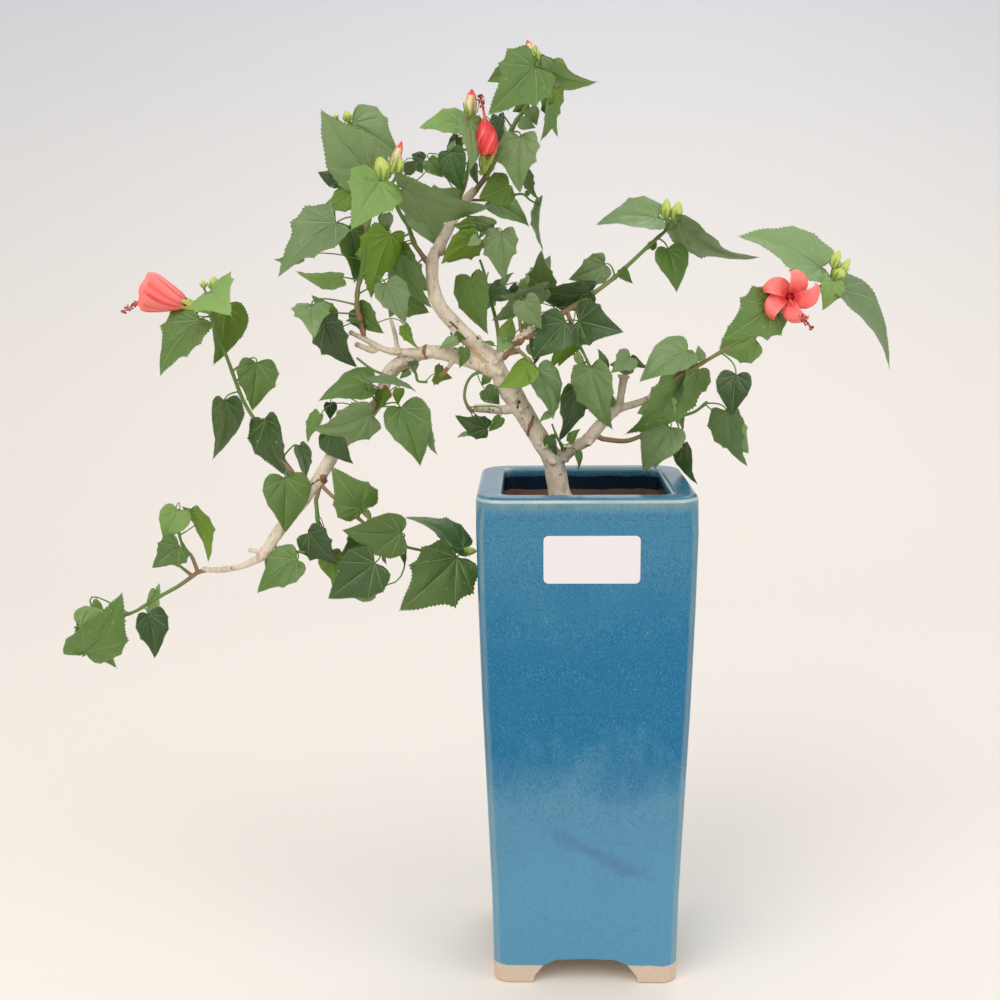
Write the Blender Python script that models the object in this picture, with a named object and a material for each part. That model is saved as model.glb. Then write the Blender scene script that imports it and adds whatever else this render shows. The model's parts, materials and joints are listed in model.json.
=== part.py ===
"""Turk's cap bonsai in a tall tapering square pot.

One plant: a glazed pot on four corner feet, its soil, a bare trunk that leans
back to a fork, long thin boughs, and foliage shoots.  A limb is a tapering tube
along its stops.  A shoot is one body: stems, leaf stalks, leaves, buds
and blossoms joined together.

Lengths are millimetres in the constants and metres in the meshes.  Places of
limbs, leaves and buds are read on a front drawing, a sheet 1000 squares wide
and high seen from EYE, with a depth in millimetres behind the pot's middle.
The whole plant is moved at the end so that the middle of its bounding box
stands over the origin and its feet stand on z = 0.
"""
import math
import random
from collections import namedtuple

import bmesh
import bpy
from mathutils import Vector
from mathutils.bvhtree import BVHTree

MM = 0.001

# Front drawing: the eye, its turn, dip and roll, and squares per unit of slope.
EYE = Vector((-28.3, -733.4, 392.1)) * MM
EYE_YAW = math.radians(-1.42)
EYE_DIP = math.radians(10.06)
EYE_ROLL = math.radians(-0.42)
SQUARES = 1340.0
SHEET_MIDDLE = 500.0

# Pot
POT_TOP = 116.4
POT_BOTTOM = 101.0
POT_HEIGHT = 272.9
# Share of the height and width there.
POT_SIDES = ((0.0, 101.0), (0.18, 102.8), (0.38, 106.9), (0.58, 111.1), (0.78, 114.2), (1.0, 116.4))
BODY_CORNER = 9.0
RIM_CORNER = 16.0
RIM_WALL = 13.7
RIM_ROUND = 3.0
CAVITY_FLOOR_WIDTH = 83.0
CAVITY_FLOOR = 22.0
FOOT_WIDTH = 22.5
FOOT_HEIGHT = 14.0
FOOT_SLOPE = 9.0
CORNER_STEPS = 3
SOIL_BELOW_RIM = 20.0
GAP = 0.35
SEAT_GAP = 0.75

# Wood
LIMB_SIDES = 7
STEM_SIDES = 3

# Leaves
LEAF_RATIO = 0.84
LEAF_THICK = 0.9
SMALL_LEAF = 11.0
STALK_APART = 1.3
LEAF_BULGE = 0.07
LEAF_FOLD = 0.09
STALK_WIDTH = 1.15
CLEAR_THICK = 1.8
NUDGES = (0, 3, -3, 6, -6, 10, -10, 15, -15, 20, -20)
ECHO_SHARE = 0.28
ECHO_SMALLEST = 14.0
SEED = 1961
TRIES = 12
SHAKE = 0.01

Stop = namedtuple("Stop", "u v depth width")
Leaf = namedtuple("Leaf", "foot_u foot_v tip_u tip_v width side lay")
Bud = namedtuple("Bud", "foot_u foot_v tip_u tip_v width")

# Which way a leaf's upper face looks: dark, mid, grey-green and bright leaves
# show it to the front, pale and yellow-green ones show the underside.
UNDERSIDES = "uy"


def sheet_axes():
    """Right, up and forward of the eye, as unit vectors."""
    right = Vector((math.cos(EYE_YAW), -math.sin(EYE_YAW), 0.0))
    ahead = Vector((math.sin(EYE_YAW), math.cos(EYE_YAW), 0.0))
    z = Vector((0.0, 0.0, 1.0))
    forward = ahead * math.cos(EYE_DIP) - z * math.sin(EYE_DIP)
    up = ahead * math.sin(EYE_DIP) + z * math.cos(EYE_DIP)
    rolled_right = right * math.cos(EYE_ROLL) + up * math.sin(EYE_ROLL)
    rolled_up = up * math.cos(EYE_ROLL) - right * math.sin(EYE_ROLL)
    return rolled_right, rolled_up, forward


RIGHT, UP, FORWARD = sheet_axes()


def at(u, v, depth):
    """The place on the drawing's square (u, v), depth millimetres back."""
    ray = FORWARD
    ray = ray + RIGHT * ((u - SHEET_MIDDLE) / SQUARES)
    ray = ray + UP * ((SHEET_MIDDLE - v) / SQUARES)
    return EYE + ray * ((depth * MM - EYE.y) / ray.y)


def square_size(place):
    """Metres that one square of the drawing covers at a place."""
    return (place - EYE).dot(FORWARD) / SQUARES


# Limbs: each stop is a square of the drawing, its depth and the limb's width.
TRUNK = (
    Stop(560, 500, 0, 15.0),
    Stop(559, 492, 0, 12.4),
    Stop(553, 461, -1, 11.6),
    Stop(543, 443, -2, 10.8),
    Stop(532, 426, -3, 10.5),
    Stop(515, 398, -5, 11.8),
    Stop(503, 380, -6, 12.6),
)
LIMBS = {
    "leader": (
        Stop(496, 366, -6, 9.8),
        Stop(490, 356, -6, 9.4),
        Stop(480, 348, -6, 8.8),
        Stop(468, 338, -6, 8.5),
        Stop(455, 324, -5, 8.2),
        Stop(441, 308, -4, 8.0),
        Stop(434, 290, -3, 7.2),
        Stop(432, 262, -2, 6.8),
        Stop(440, 245, -1, 6.1),
        Stop(452, 222, 0, 5.4),
        Stop(462, 205, 0, 5.0),
        Stop(475, 190, 0, 4.6),
    ),
    "left_bough": (
        Stop(492, 370, -7, 9.8),
        Stop(472, 360, -9, 9.5),
        Stop(454, 355, -10, 8.8),
        Stop(434, 352, -11, 7.5),
        Stop(420, 353, -12, 6.0),
        Stop(400, 352, -13, 4.4),
        Stop(385, 350, -13, 3.4),
        Stop(370, 342, -14, 3.0),
        Stop(362, 337, -14, 2.8),
    ),
    "left_low_bough": (
        Stop(426, 352, -9, 7.6),
        Stop(410, 358, -9, 7.5),
        Stop(395, 366, -10, 7.2),
        Stop(387, 376, -11, 7.0),
        Stop(383, 390, -12, 7.0),
        Stop(378, 402, -12, 7.0),
        Stop(360, 425, -13, 7.0),
        Stop(345, 440, -13, 7.0),
        Stop(333, 455, -14, 7.2),
        Stop(318, 480, -15, 7.2),
        Stop(306, 497, -17, 6.8),
        Stop(280, 530, -19, 6.7),
        Stop(270, 545, -20, 6.4),
        Stop(262, 556, -20, 5.0),
        Stop(250, 563, -21, 4.0),
        Stop(235, 568, -21, 3.5),
        Stop(215, 570, -22, 3.3),
        Stop(203, 569, -22, 3.0),
    ),
    "mid_bough": (
        Stop(502, 356, -6, 5.4),
        Stop(506, 350, -7, 5.2),
        Stop(515, 342, -7, 4.8),
        Stop(524, 335, -8, 4.6),
        Stop(534, 331, -8, 4.6),
        Stop(542, 328, -8, 4.2),
    ),
    "right_bough": (
        Stop(553, 463, -1, 7.4),
        Stop(562, 457, -1, 7.2),
        Stop(575, 447, -1, 7.0),
        Stop(587, 440, -2, 7.0),
        Stop(600, 425, -3, 6.6),
        Stop(606, 420, -4, 6.2),
        Stop(616, 410, -5, 5.0),
        Stop(641, 402, -7, 3.7),
        Stop(655, 394, -8, 3.0),
    ),
    "cut_stub_left": (
        Stop(515, 408, -5, 5.0),
        Stop(503, 410, -6, 5.0),
        Stop(490, 409, -7, 4.8),
        Stop(475, 408, -7, 4.4),
    ),
    "cut_stub_right": (
        Stop(614, 414, -4, 4.2),
        Stop(619, 408, -4, 4.4),
        Stop(621, 395, -3, 4.3),
        Stop(624, 376, -2, 5.0),
    ),
    "bare_twig": (
        Stop(399, 352, -13, 2.6),
        Stop(397, 345, -13, 2.7),
        Stop(395, 335, -13, 2.6),
        Stop(391, 320, -12, 2.2),
    ),
}


def stem(first_width, last_width, *places):
    """Stops along a stem that thins evenly from its first to its last place."""
    last = len(places) - 1
    stops = []
    for index, (u, v, depth) in enumerate(places):
        width = first_width + (last_width - first_width) * index / last
        stops.append(Stop(u, v, depth, width))
    return tuple(stops)


# Shoots: stems in order from the wood outwards, then leaves, buds, blossoms.
SHOOTS = {
    "far_left_shoot": {
        "stems": (
            stem(2.7, 1.6, (206, 570, -22), (200, 571, -22), (190, 578, -24),
                 (177, 587, -27), (155, 599, -31), (136, 611, -35), (121, 616, -37)),
            stem(2.4, 1.3, (200, 571, -22), (192, 557, -24), (187, 551, -25),
                 (181, 541, -27), (178, 528, -29)),
            stem(2.2, 1.2, (192, 575, -24), (185, 570, -24), (178, 564, -24),
                 (177, 559, -24)),
        ),
        "leaves": (
            Leaf(85, 652, 124, 594, 52, "m", -6),
            Leaf(92, 609, 117, 669, 34, "y", 6),
            Leaf(148, 614, 155, 659, 31, "d", -5),
            Leaf(157, 590, 162, 630, 14, "u", 6),
            Leaf(179, 546, 152, 568, 34, "m", -5),
            Leaf(178, 510, 163, 541, 30, "b", -3),
            Leaf(191, 512, 211, 562, 20, "y", 3),
            Leaf(195, 513, 181, 506, 8, "m", 5),
        ),
    },
    "hanging_twig": {
        "stems": (
            stem(2.7, 2.0, (320, 484, -15), (319, 490, -16), (316, 500, -18),
                 (317, 512, -20), (318, 526, -22)),
        ),
        "leaves": (
            Leaf(309, 533, 342, 566, 33, "d", -4),
            Leaf(330, 552, 334, 588, 24, "y", 5),
        ),
    },
    "low_twig": {
        "stems": (
            stem(2.0, 1.1, (272, 546, -20), (284, 551, -22), (305, 552, -26)),
        ),
        "leaves": (
            Leaf(297, 560, 256, 593, 38, "m", -3),
            Leaf(272, 552, 265, 570, 8, "d", 5),
        ),
    },
    "left_flower_shoot": {
        "stems": (
            stem(2.6, 1.6, (306, 500, -16), (303, 493, -13), (293, 474, -8),
                 (275, 448, -2), (262, 430, 2), (243, 400, 8), (226, 355, 13),
                 (219, 340, 15), (215, 318, 16), (212, 293, 17)),
        ),
        "leaves": (
            Leaf(285, 478, 286, 534, 45, "m", -10),
            Leaf(266, 420, 290, 481, 32, "d", -7),
            Leaf(298, 447, 304, 488, 14, "m", 6),
            Leaf(224, 401, 214, 461, 28, "m", -3),
            Leaf(257, 363, 253, 412, 40, "m", -7),
            Leaf(211, 292, 230, 314, 55, "b", -9),
            Leaf(200, 320, 157, 376, 43, "g", -5),
            Leaf(225, 305, 215, 366, 36, "y", 6),
        ),
        "buds": (
            Bud(204, 288, 203, 280, 6),
            Bud(212, 290, 215, 276, 9),
            Bud(213, 313, 184, 303, 13),
        ),
        "furled": ((184, 303, 146, 291, 14, 40), (146, 294, 124, 311, 4, 4)),
    },
    "pot_side_shoot": {
        "stems": (
            stem(2.4, 1.2, (322, 486, -16), (328, 492, -18), (340, 503, -22),
                 (353, 514, -25), (369, 527, -28), (385, 540, -27), (400, 545, -25),
                 (415, 549, -22), (435, 552, -18), (455, 552, -14), (468, 551, -12)),
        ),
        "leaves": (
            Leaf(361, 508, 332, 467, 46, "m", -5),
            Leaf(362, 510, 372, 523, 8, "u", 4),
            Leaf(368, 536, 340, 556, 28, "d", 4),
            Leaf(375, 563, 327, 600, 52, "d", -6),
            Leaf(401, 533, 341, 531, 43, "m", -8),
            Leaf(463, 548, 405, 515, 24, "m", 3),
            Leaf(457, 557, 399, 613, 65, "m", -6),
            Leaf(402, 555, 405, 566, 6, "m", 3),
            Leaf(384, 557, 387, 565, 4, "g", 3),
        ),
        "buds": (Bud(463, 551, 477, 551, 8),),
    },
    "left_inner_leaves": {
        "stems": (
            stem(2.2, 1.4, (381, 396, -13), (378, 405, -20), (374, 414, -24)),
        ),
        "leaves": (
            Leaf(371, 385, 317, 400, 30, "m", -4),
            Leaf(370, 414, 311, 431, 37, "g", -8),
            Leaf(371, 382, 418, 391, 10, "g", -8),
            Leaf(383, 390, 382, 408, 16, "y", -3),
            Leaf(400, 389, 398, 406, 12, "y", -2),
            Leaf(401, 408, 421, 467, 44, "m", -5),
            Leaf(429, 428, 437, 456, 12, "g", 0),
            Leaf(330, 432, 353, 465, 26, "d", 4),
            Leaf(320, 415, 307, 443, 14, "m", 2),
            Leaf(330, 403, 330, 420, 14, "d", 5),
        ),
    },
    "upper_left_shoot": {
        "stems": (
            stem(2.7, 2.0, (364, 336, -14), (360, 320, -17), (357, 305, -19),
                 (358, 288, -20), (361, 275, -21), (364, 250, -23), (367, 232, -24),
                 (369, 222, -25), (375, 200, -26), (381, 184, -27)),
            stem(1.9, 1.4, (367, 232, -24), (362, 190, -16), (356, 155, -13),
                 (350, 124, -12)),
        ),
        "leaves": (
            Leaf(372, 173, 319, 109, 56, "g", -5),
            Leaf(352, 123, 401, 160, 48, "g", 6),
            Leaf(379, 181, 352, 228, 57, "b", -9),
            Leaf(352, 190, 319, 211, 26, "y", 4),
            Leaf(340, 180, 317, 172, 18, "d", 6),
            Leaf(385, 214, 388, 233, 16, "g", 6),
            Leaf(336, 223, 275, 276, 44, "g", -5),
            Leaf(300, 255, 273, 260, 12, "b", 5),
            Leaf(341, 277, 295, 273, 18, "b", -3),
            Leaf(390, 234, 369, 299, 45, "y", 5),
            Leaf(350, 228, 356, 284, 36, "m", 9),
            Leaf(386, 284, 406, 325, 34, "g", -7),
            Leaf(358, 308, 384, 334, 26, "m", 5),
            Leaf(362, 320, 345, 321, 10, "m", 3),
            Leaf(311, 306, 314, 337, 38, "g", -3),
            Leaf(330, 322, 312, 294, 20, "y", 3),
            Leaf(325, 322, 357, 369, 36, "d", -6),
            Leaf(405, 326, 418, 349, 12, "y", 2),
        ),
        "buds": (
            Bud(349, 122, 346, 110, 9),
            Bud(337, 119, 334, 114, 5),
            Bud(383, 182, 382, 152, 16),
            Bud(391, 174, 402, 141, 10),
            Bud(398, 175, 401, 156, 9),
        ),
    },
    "upper_left_back_shoot": {
        "stems": (
            stem(2.8, 1.8, (430, 267, -2), (420, 252, 0), (414, 243, 2),
                 (408, 226, 6), (400, 213, 9), (394, 200, 12), (388, 188, 14)),
        ),
        "leaves": (
            Leaf(403, 187, 492, 211, 40, "g", -22),
            Leaf(401, 251, 430, 310, 32, "m", -8),
            Leaf(397, 250, 390, 275, 14, "g", -2),
            Leaf(400, 300, 430, 313, 28, "m", 4),
            Leaf(415, 212, 447, 256, 32, "g", -9),
            Leaf(402, 206, 414, 216, 9, "m", 2),
            Leaf(404, 170, 420, 160, 14, "g", 3),
            Leaf(424, 160, 411, 154, 14, "d", 5),
            Leaf(416, 162, 423, 174, 12, "g", 4),
        ),
    },
    "leader_small_leaves": {
        "stems": (
            stem(1.8, 1.2, (464, 334, -6), (461, 339, -10), (459, 342, -12)),
        ),
        "leaves": (
            Leaf(457, 341, 438, 349, 12, "g", -3),
            Leaf(463, 348, 460, 369, 13, "m", -4),
            Leaf(456, 333, 467, 340, 8, "m", -3),
        ),
    },
    "under_bough_twig": {
        "stems": (
            stem(2.0, 1.2, (417, 354, -11), (412, 365, -12), (416, 374, -13),
                 (418, 381, -13), (427, 382, -13)),
            stem(1.8, 1.3, (412, 365, -12), (400, 371, -15), (393, 377, -18),
                 (380, 373, -20), (370, 368, -20), (357, 358, -20)),
        ),
        "leaves": (
            Leaf(436, 374, 452, 378, 22, "y", 6),
            Leaf(413, 362, 415, 374, 12, "d", -3),
            Leaf(410, 372, 399, 379, 8, "m", -2),
        ),
    },
    "crown_top": {
        "stems": (
            stem(3.3, 1.7, (474, 193, 0), (478, 187, 0), (485, 178, -1),
                 (492, 166, -2), (505, 142, -4), (517, 120, -6), (527, 106, -7),
                 (532, 90, -8), (538, 62, -10)),
        ),
        "leaves": (
            Leaf(535, 67, 488, 115, 60, "d", -8),
            Leaf(505, 70, 487, 82, 16, "b", 5),
            Leaf(538, 63, 598, 84, 26, "b", -2),
            Leaf(549, 66, 541, 53, 12, "g", 3),
            Leaf(552, 66, 569, 71, 20, "b", 5),
            Leaf(556, 90, 556, 138, 22, "y", 3),
            Leaf(549, 105, 541, 142, 14, "m", -3),
            Leaf(530, 108, 537, 126, 16, "g", 0),
            Leaf(520, 122, 536, 128, 14, "g", -4),
            Leaf(526, 106, 512, 112, 12, "y", 4),
            Leaf(521, 137, 519, 194, 42, "g", -7),
            Leaf(528, 173, 538, 200, 13, "g", 4),
            Leaf(499, 117, 500, 157, 18, "d", 5),
            Leaf(503, 158, 507, 169, 7, "m", 2),
            Leaf(513, 162, 510, 178, 5, "m", 2),
        ),
        "buds": (
            Bud(534, 57, 527, 40, 9),
            Bud(539, 61, 537, 45, 4),
            Bud(483, 174, 488, 152, 16),
        ),
        "furled": ((488, 154, 484, 117, 17, 20), (484, 119, 480, 97, 4, 4)),
    },
    "middle_bud_shoot": {
        "stems": (
            stem(2.4, 1.5, (460, 207, -1), (460, 198, -6), (465, 185, -12), (468, 170, -14),
                 (470, 155, -15), (469, 135, -15), (469, 122, -15)),
        ),
        "leaves": (
            Leaf(463, 124, 418, 127, 25, "b", 2),
            Leaf(457, 137, 441, 164, 16, "m", 4),
            Leaf(468, 120, 471, 173, 28, "g", -2),
            Leaf(452, 152, 464, 193, 28, "d", -6),
            Leaf(452, 152, 455, 139, 10, "g", -6),
            Leaf(429, 160, 443, 178, 18, "m", 5),
            Leaf(475, 165, 478, 186, 10, "m", 5),
        ),
        "buds": (Bud(470, 118, 472, 89, 13),),
    },
    "leader_right_shoot": {
        "stems": (
            stem(2.0, 1.3, (439, 255, -2), (443, 254, -6), (450, 251, -8),
                 (466, 246, -12), (478, 238, -13), (487, 231, -14)),
        ),
        "leaves": (
            Leaf(502, 232, 504, 281, 36, "g", -4),
            Leaf(493, 225, 463, 214, 16, "g", -2),
            Leaf(474, 222, 452, 226, 14, "m", -5),
            Leaf(465, 230, 455, 247, 12, "y", 2),
            Leaf(478, 238, 467, 246, 12, "g", -6),
            Leaf(478, 240, 440, 264, 26, "y", -3),
        ),
    },
    "leader_side_twig": {
        "stems": (
            stem(1.8, 0.9, (464, 201, 1), (473, 200, 3), (490, 200, 5),
                 (505, 197, 6), (522, 194, 5), (530, 200, 4), (540, 205, 3)),
        ),
        "leaves": (
            Leaf(509, 186, 478, 198, 34, "y", -2),
            Leaf(492, 202, 530, 227, 26, "b", 4),
            Leaf(541, 201, 542, 252, 10, "g", 0),
            Leaf(526, 194, 532, 190, 6, "m", 0),
        ),
    },
    "leader_low_shoot": {
        "stems": (
            stem(2.6, 1.4, (497, 357, 0), (499, 345, 6), (497, 325, 8),
                 (492, 305, 10), (487, 288, 11), (484, 272, 12), (480, 260, 12)),
        ),
        "leaves": (
            Leaf(472, 277, 488, 335, 36, "m", -6),
            Leaf(505, 288, 483, 301, 22, "d", -9),
            Leaf(503, 284, 514, 272, 8, "g", -9),
            Leaf(516, 285, 505, 294, 8, "d", 0),
        ),
    },
    "fork_front_shoot": {
        "stems": (
            stem(3.0, 1.6, (504, 358, -9), (508, 353, -15), (513, 351, -18),
                 (519, 351, -20), (527, 358, -22), (533, 364, -24)),
        ),
        "leaves": (
            Leaf(530, 365, 497, 388, 26, "y", -3),
            Leaf(537, 369, 555, 420, 31, "g", -2),
            Leaf(552, 414, 538, 423, 8, "g", 3),
            Leaf(506, 340, 497, 353, 18, "g", -4),
            Leaf(511, 340, 507, 333, 8, "m", -5),
            Leaf(493, 345, 481, 342, 5, "m", 0),
        ),
    },
    "fork_up_twig": {
        "stems": (
            stem(2.2, 1.2, (522, 334, -8), (520, 322, -9), (518, 310, -9),
                 (518, 300, -9)),
        ),
        "leaves": (
            Leaf(545, 288, 498, 298, 18, "g", -3),
            Leaf(524, 300, 542, 330, 28, "g", -5),
            Leaf(515, 303, 492, 322, 16, "g", 3),
            Leaf(505, 337, 512, 316, 18, "y", 2),
            Leaf(527, 328, 526, 315, 10, "m", 0),
        ),
    },
    "mid_right_shoot": {
        "stems": (
            stem(3.0, 1.8, (541, 329, -8), (545, 326, -8), (558, 316, -4),
                 (575, 305, 2), (598, 290, 8), (615, 277, 13), (625, 268, 16),
                 (640, 254, 20), (655, 240, 24), (665, 231, 27), (669, 223, 28)),
            stem(1.9, 1.4, (567, 310, -1), (574, 330, -6), (579, 344, -10),
                 (585, 356, -12), (590, 367, -13)),
        ),
        "leaves": (
            Leaf(658, 218, 595, 222, 32, "g", -4),
            Leaf(680, 222, 758, 262, 26, "g", -4),
            Leaf(672, 222, 664, 232, 14, "m", -4),
            Leaf(668, 249, 677, 293, 32, "m", 3),
            Leaf(650, 248, 657, 240, 10, "m", 4),
            Leaf(622, 269, 633, 284, 12, "m", -3),
            Leaf(604, 264, 568, 280, 30, "g", -5),
            Leaf(590, 290, 528, 292, 30, "d", -9),
            Leaf(579, 321, 623, 332, 46, "d", -14),
            Leaf(565, 322, 531, 360, 42, "d", -8),
            Leaf(575, 340, 550, 369, 24, "y", 5),
            Leaf(535, 340, 535, 366, 14, "d", 6),
            Leaf(546, 290, 541, 249, 26, "m", 3),
            Leaf(592, 367, 612, 431, 40, "g", -3),
            Leaf(577, 353, 587, 368, 10, "u", 4),
            Leaf(573, 389, 559, 443, 29, "d", 4),
            Leaf(603, 371, 598, 348, 12, "m", 3),
        ),
        "buds": (
            Bud(666, 219, 667, 198, 10),
            Bud(675, 222, 679, 201, 12),
        ),
    },
    "right_stub_shoot": {
        "stems": (
            stem(1.8, 1.2, (624, 377, -2), (628, 364, -3), (631, 358, -4)),
        ),
        "leaves": (
            Leaf(630, 357, 611, 373, 24, "g", -5),
            Leaf(632, 357, 650, 369, 10, "g", 0),
        ),
    },
    "right_flower_shoot": {
        "stems": (
            stem(2.4, 1.6, (654, 395, -8), (660, 391, -8), (677, 377, -10),
                 (697, 366, -12), (726, 349, -15), (750, 335, -17), (762, 328, -18),
                 (790, 303, -20), (812, 292, -21), (833, 278, -22)),
        ),
        "leaves": (
            Leaf(687, 351, 638, 381, 38, "g", -5),
            Leaf(700, 360, 698, 345, 12, "g", -4),
            Leaf(685, 375, 626, 437, 44, "m", 8),
            Leaf(698, 369, 682, 406, 26, "m", 5),
            Leaf(671, 399, 675, 416, 7, "u", -3),
            Leaf(755, 338, 716, 350, 44, "b", 6),
            Leaf(772, 307, 722, 340, 54, "g", -8),
            Leaf(736, 375, 731, 417, 34, "d", -4),
            Leaf(821, 268, 738, 234, 44, "b", 6),
            Leaf(833, 281, 823, 311, 24, "b", -4),
            Leaf(838, 288, 895, 369, 18, "g", 0),
        ),
        "buds": (
            Bud(833, 268, 839, 250, 10),
            Bud(840, 275, 850, 258, 8),
            Bud(834, 280, 845, 267, 13),
        ),
        "open": ((790, 297, 26), (790, 300, 811, 327, 4, 4)),
    },
    "right_side_twig": {
        "stems": (
            stem(3.0, 1.6, (596, 436, -2), (604, 439, 0), (625, 441, 5),
                 (641, 436, 10), (658, 428, 14), (673, 419, 17), (685, 415, 19),
                 (696, 411, 20), (707, 402, 22)),
        ),
        "leaves": (
            Leaf(670, 428, 642, 473, 42, "g", -9),
            Leaf(684, 445, 696, 486, 16, "m", 3),
            Leaf(727, 411, 746, 468, 32, "g", -3),
            Leaf(676, 412, 683, 432, 10, "m", 4),
        ),
    },
    "stub_left_shoot": {
        "stems": (
            stem(2.0, 1.4, (478, 408, -7), (469, 411, -7), (465, 400, -9),
                 (465, 390, -10), (468, 381, -11), (473, 375, -12), (479, 372, -12)),
        ),
        "leaves": (
            Leaf(485, 389, 500, 405, 20, "m", 3),
            Leaf(488, 376, 481, 386, 10, "m", 3),
            Leaf(487, 428, 454, 416, 24, "d", -5),
            Leaf(500, 417, 488, 432, 12, "m", -3),
            Leaf(467, 434, 457, 438, 5, "g", 2),
        ),
    },
    "right_bough_foot_leaves": {
        "stems": (
            stem(2.2, 1.0, (564, 452, -2), (561, 444, -9), (557, 437, -11),
                 (552, 424, -11)),
        ),
        "leaves": (
            Leaf(550, 436, 557, 457, 14, "d", 0),
            Leaf(570, 442, 580, 428, 10, "m", -2),
            Leaf(577, 452, 578, 471, 7, "m", 4),
        ),
    },
}


# Half outlines of a leaf from foot to tip: share of half width, share of length.
LARGE_HALF = ((0.62, -0.11), (1.0, 0.30), (0.56, 0.68))
SMALL_HALF = ((0.90, 0.06), (0.84, 0.50))


def route_of(stops):
    """World places and radii of a row of stops."""
    return [(at(s.u, s.v, s.depth), s.width * MM / 2) for s in stops]


def directions(route):
    """Unit direction of a route at each of its places."""
    last = len(route) - 1
    result = []
    for i in range(len(route)):
        ahead = route[min(i + 1, last)][0]
        behind = route[max(i - 1, 0)][0]
        result.append((ahead - behind).normalized())
    return result


def ring(place, direction, side, radius, count):
    """Places round a route's place, square to its direction."""
    across = direction.cross(side).normalized()
    result = []
    for k in range(count):
        turn = 2 * math.pi * k / count
        result.append(place + side * (radius * math.cos(turn)) + across * (radius * math.sin(turn)))
    return result


def loft(rings, seat_middle=None):
    """A closed bmesh through rings of equal count, capped at both ends."""
    bm = bmesh.new()
    rows = [[bm.verts.new(p) for p in places] for places in rings]
    count = len(rows[0])
    for lower, upper in zip(rows, rows[1:]):
        for k in range(count):
            n = (k + 1) % count
            bm.faces.new((lower[k], lower[n], upper[n], upper[k]))
    if seat_middle is None:
        bm.faces.new(rows[0])
    else:
        middle = bm.verts.new(seat_middle)
        for k in range(count):
            bm.faces.new((middle, rows[0][k], rows[0][(k + 1) % count]))
    bm.faces.new(rows[-1])
    bmesh.ops.recalc_face_normals(bm, faces=bm.faces[:])
    return bm


def tube_rings(route, count, end_share=0.7, first=None):
    """Rings of a tube along a route, its end slightly rounded."""
    ways = directions(route)
    if first is not None:
        ways[0] = first
    side = ways[0].orthogonal().normalized()
    rings = []
    for (place, radius), way in zip(route, ways):
        side = (side - way * side.dot(way)).normalized()
        rings.append(ring(place, way, side, radius, count))
    if end_share:
        place, radius = route[-1]
        end = place + ways[-1] * (radius * 0.35)
        rings.append(ring(end, ways[-1], side, radius * end_share, count))
    return rings


def tube(route, count):
    return loft(tube_rings(route, count, 0.0))


def tree_of(bm):
    """A search tree of a bmesh's faces."""
    bm.verts.index_update()
    places = [v.co.copy() for v in bm.verts]
    faces = [[v.index for v in f.verts] for f in bm.faces]
    return BVHTree.FromPolygons(places, faces)


def clearance(place, trees):
    """Distance from a place to the nearest of several bodies."""
    nearest = 1.0
    for tree in trees:
        hit = tree.find_nearest(place)
        if hit[3] is not None:
            nearest = min(nearest, hit[3])
    return nearest


def finer_route(route, parts):
    """A route with extra places between its own."""
    result = []
    for (a, ra), (b, rb) in zip(route, route[1:]):
        for k in range(parts):
            t = k / parts
            result.append((a.lerp(b, t), ra + (rb - ra) * t))
    result.append(route[-1])
    return result


def trim_start(route, trees):
    """Drop a route's start up to where it stands clear of other bodies."""
    parts = 10
    finer = finer_route(route, parts)
    start = 0
    for index, (place, radius) in enumerate(finer[:len(finer) * 7 // 10]):
        if clearance(place, trees) < radius * 1.05 + GAP * MM:
            start = index + 1
    kept = [finer[start]]
    for index, stop in enumerate(route):
        if index * parts > start + 3:
            kept.append(stop)
    return kept


def slide_back(place, way, trees, far):
    """Move a place back along a tube until it nears another body's skin."""
    moved = place.copy()
    for step in range(int(far / (0.1 * MM))):
        ahead = moved - way * (0.1 * MM)
        if clearance(ahead, trees) < SEAT_GAP * MM:
            return moved
        moved = ahead
    return moved


def seat(rings, route, trees):
    """Fit a tube's first ring to the skin it grows from; returns the cap's middle."""
    place, radius = route[0]
    way = directions(route)[0]
    rings[0] = [slide_back(p, way, trees, radius * 1.2) for p in rings[0]]
    return slide_back(place, way, trees, radius * 1.2)


def material(name, colour, roughness, metallic=0.0):
    made = bpy.data.materials.new(name)
    made.use_nodes = True
    shader = made.node_tree.nodes["Principled BSDF"]
    shader.inputs["Base Color"].default_value = (*colour, 1.0)
    shader.inputs["Roughness"].default_value = roughness
    shader.inputs["Metallic"].default_value = metallic
    return made


def collection(name):
    made = bpy.data.collections.new(name)
    bpy.context.scene.collection.children.link(made)
    return made


def add_object(bm, name, into, colour=None, roughness=0.8):
    mesh = bpy.data.meshes.new(name)
    bm.to_mesh(mesh)
    made = bpy.data.objects.new(name, mesh)
    into.objects.link(made)
    if colour is not None:
        made.data.materials.append(material(name, colour, roughness))
    return made


def rounded_square(half, corner, z):
    """A square section with rounded corners."""
    places = []
    for quarter in range(4):
        middle_turn = math.pi / 4 + quarter * math.pi / 2
        reach = (half - corner) * math.sqrt(2)
        middle_x = reach * math.cos(middle_turn)
        middle_y = reach * math.sin(middle_turn)
        for step in range(CORNER_STEPS + 1):
            turn = quarter * math.pi / 2 + step * math.pi / 2 / CORNER_STEPS
            x = middle_x + corner * math.cos(turn)
            y = middle_y + corner * math.sin(turn)
            places.append(Vector((x, y, z)) * MM)
    return places


def pot_half(z):
    """Half width of the pot's outside at a height; its sides bow out a little."""
    share = z / POT_HEIGHT
    for (low, narrow), (high, wide) in zip(POT_SIDES, POT_SIDES[1:]):
        if share <= high:
            break
    return (narrow + (wide - narrow) * (share - low) / (high - low)) / 2


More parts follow.
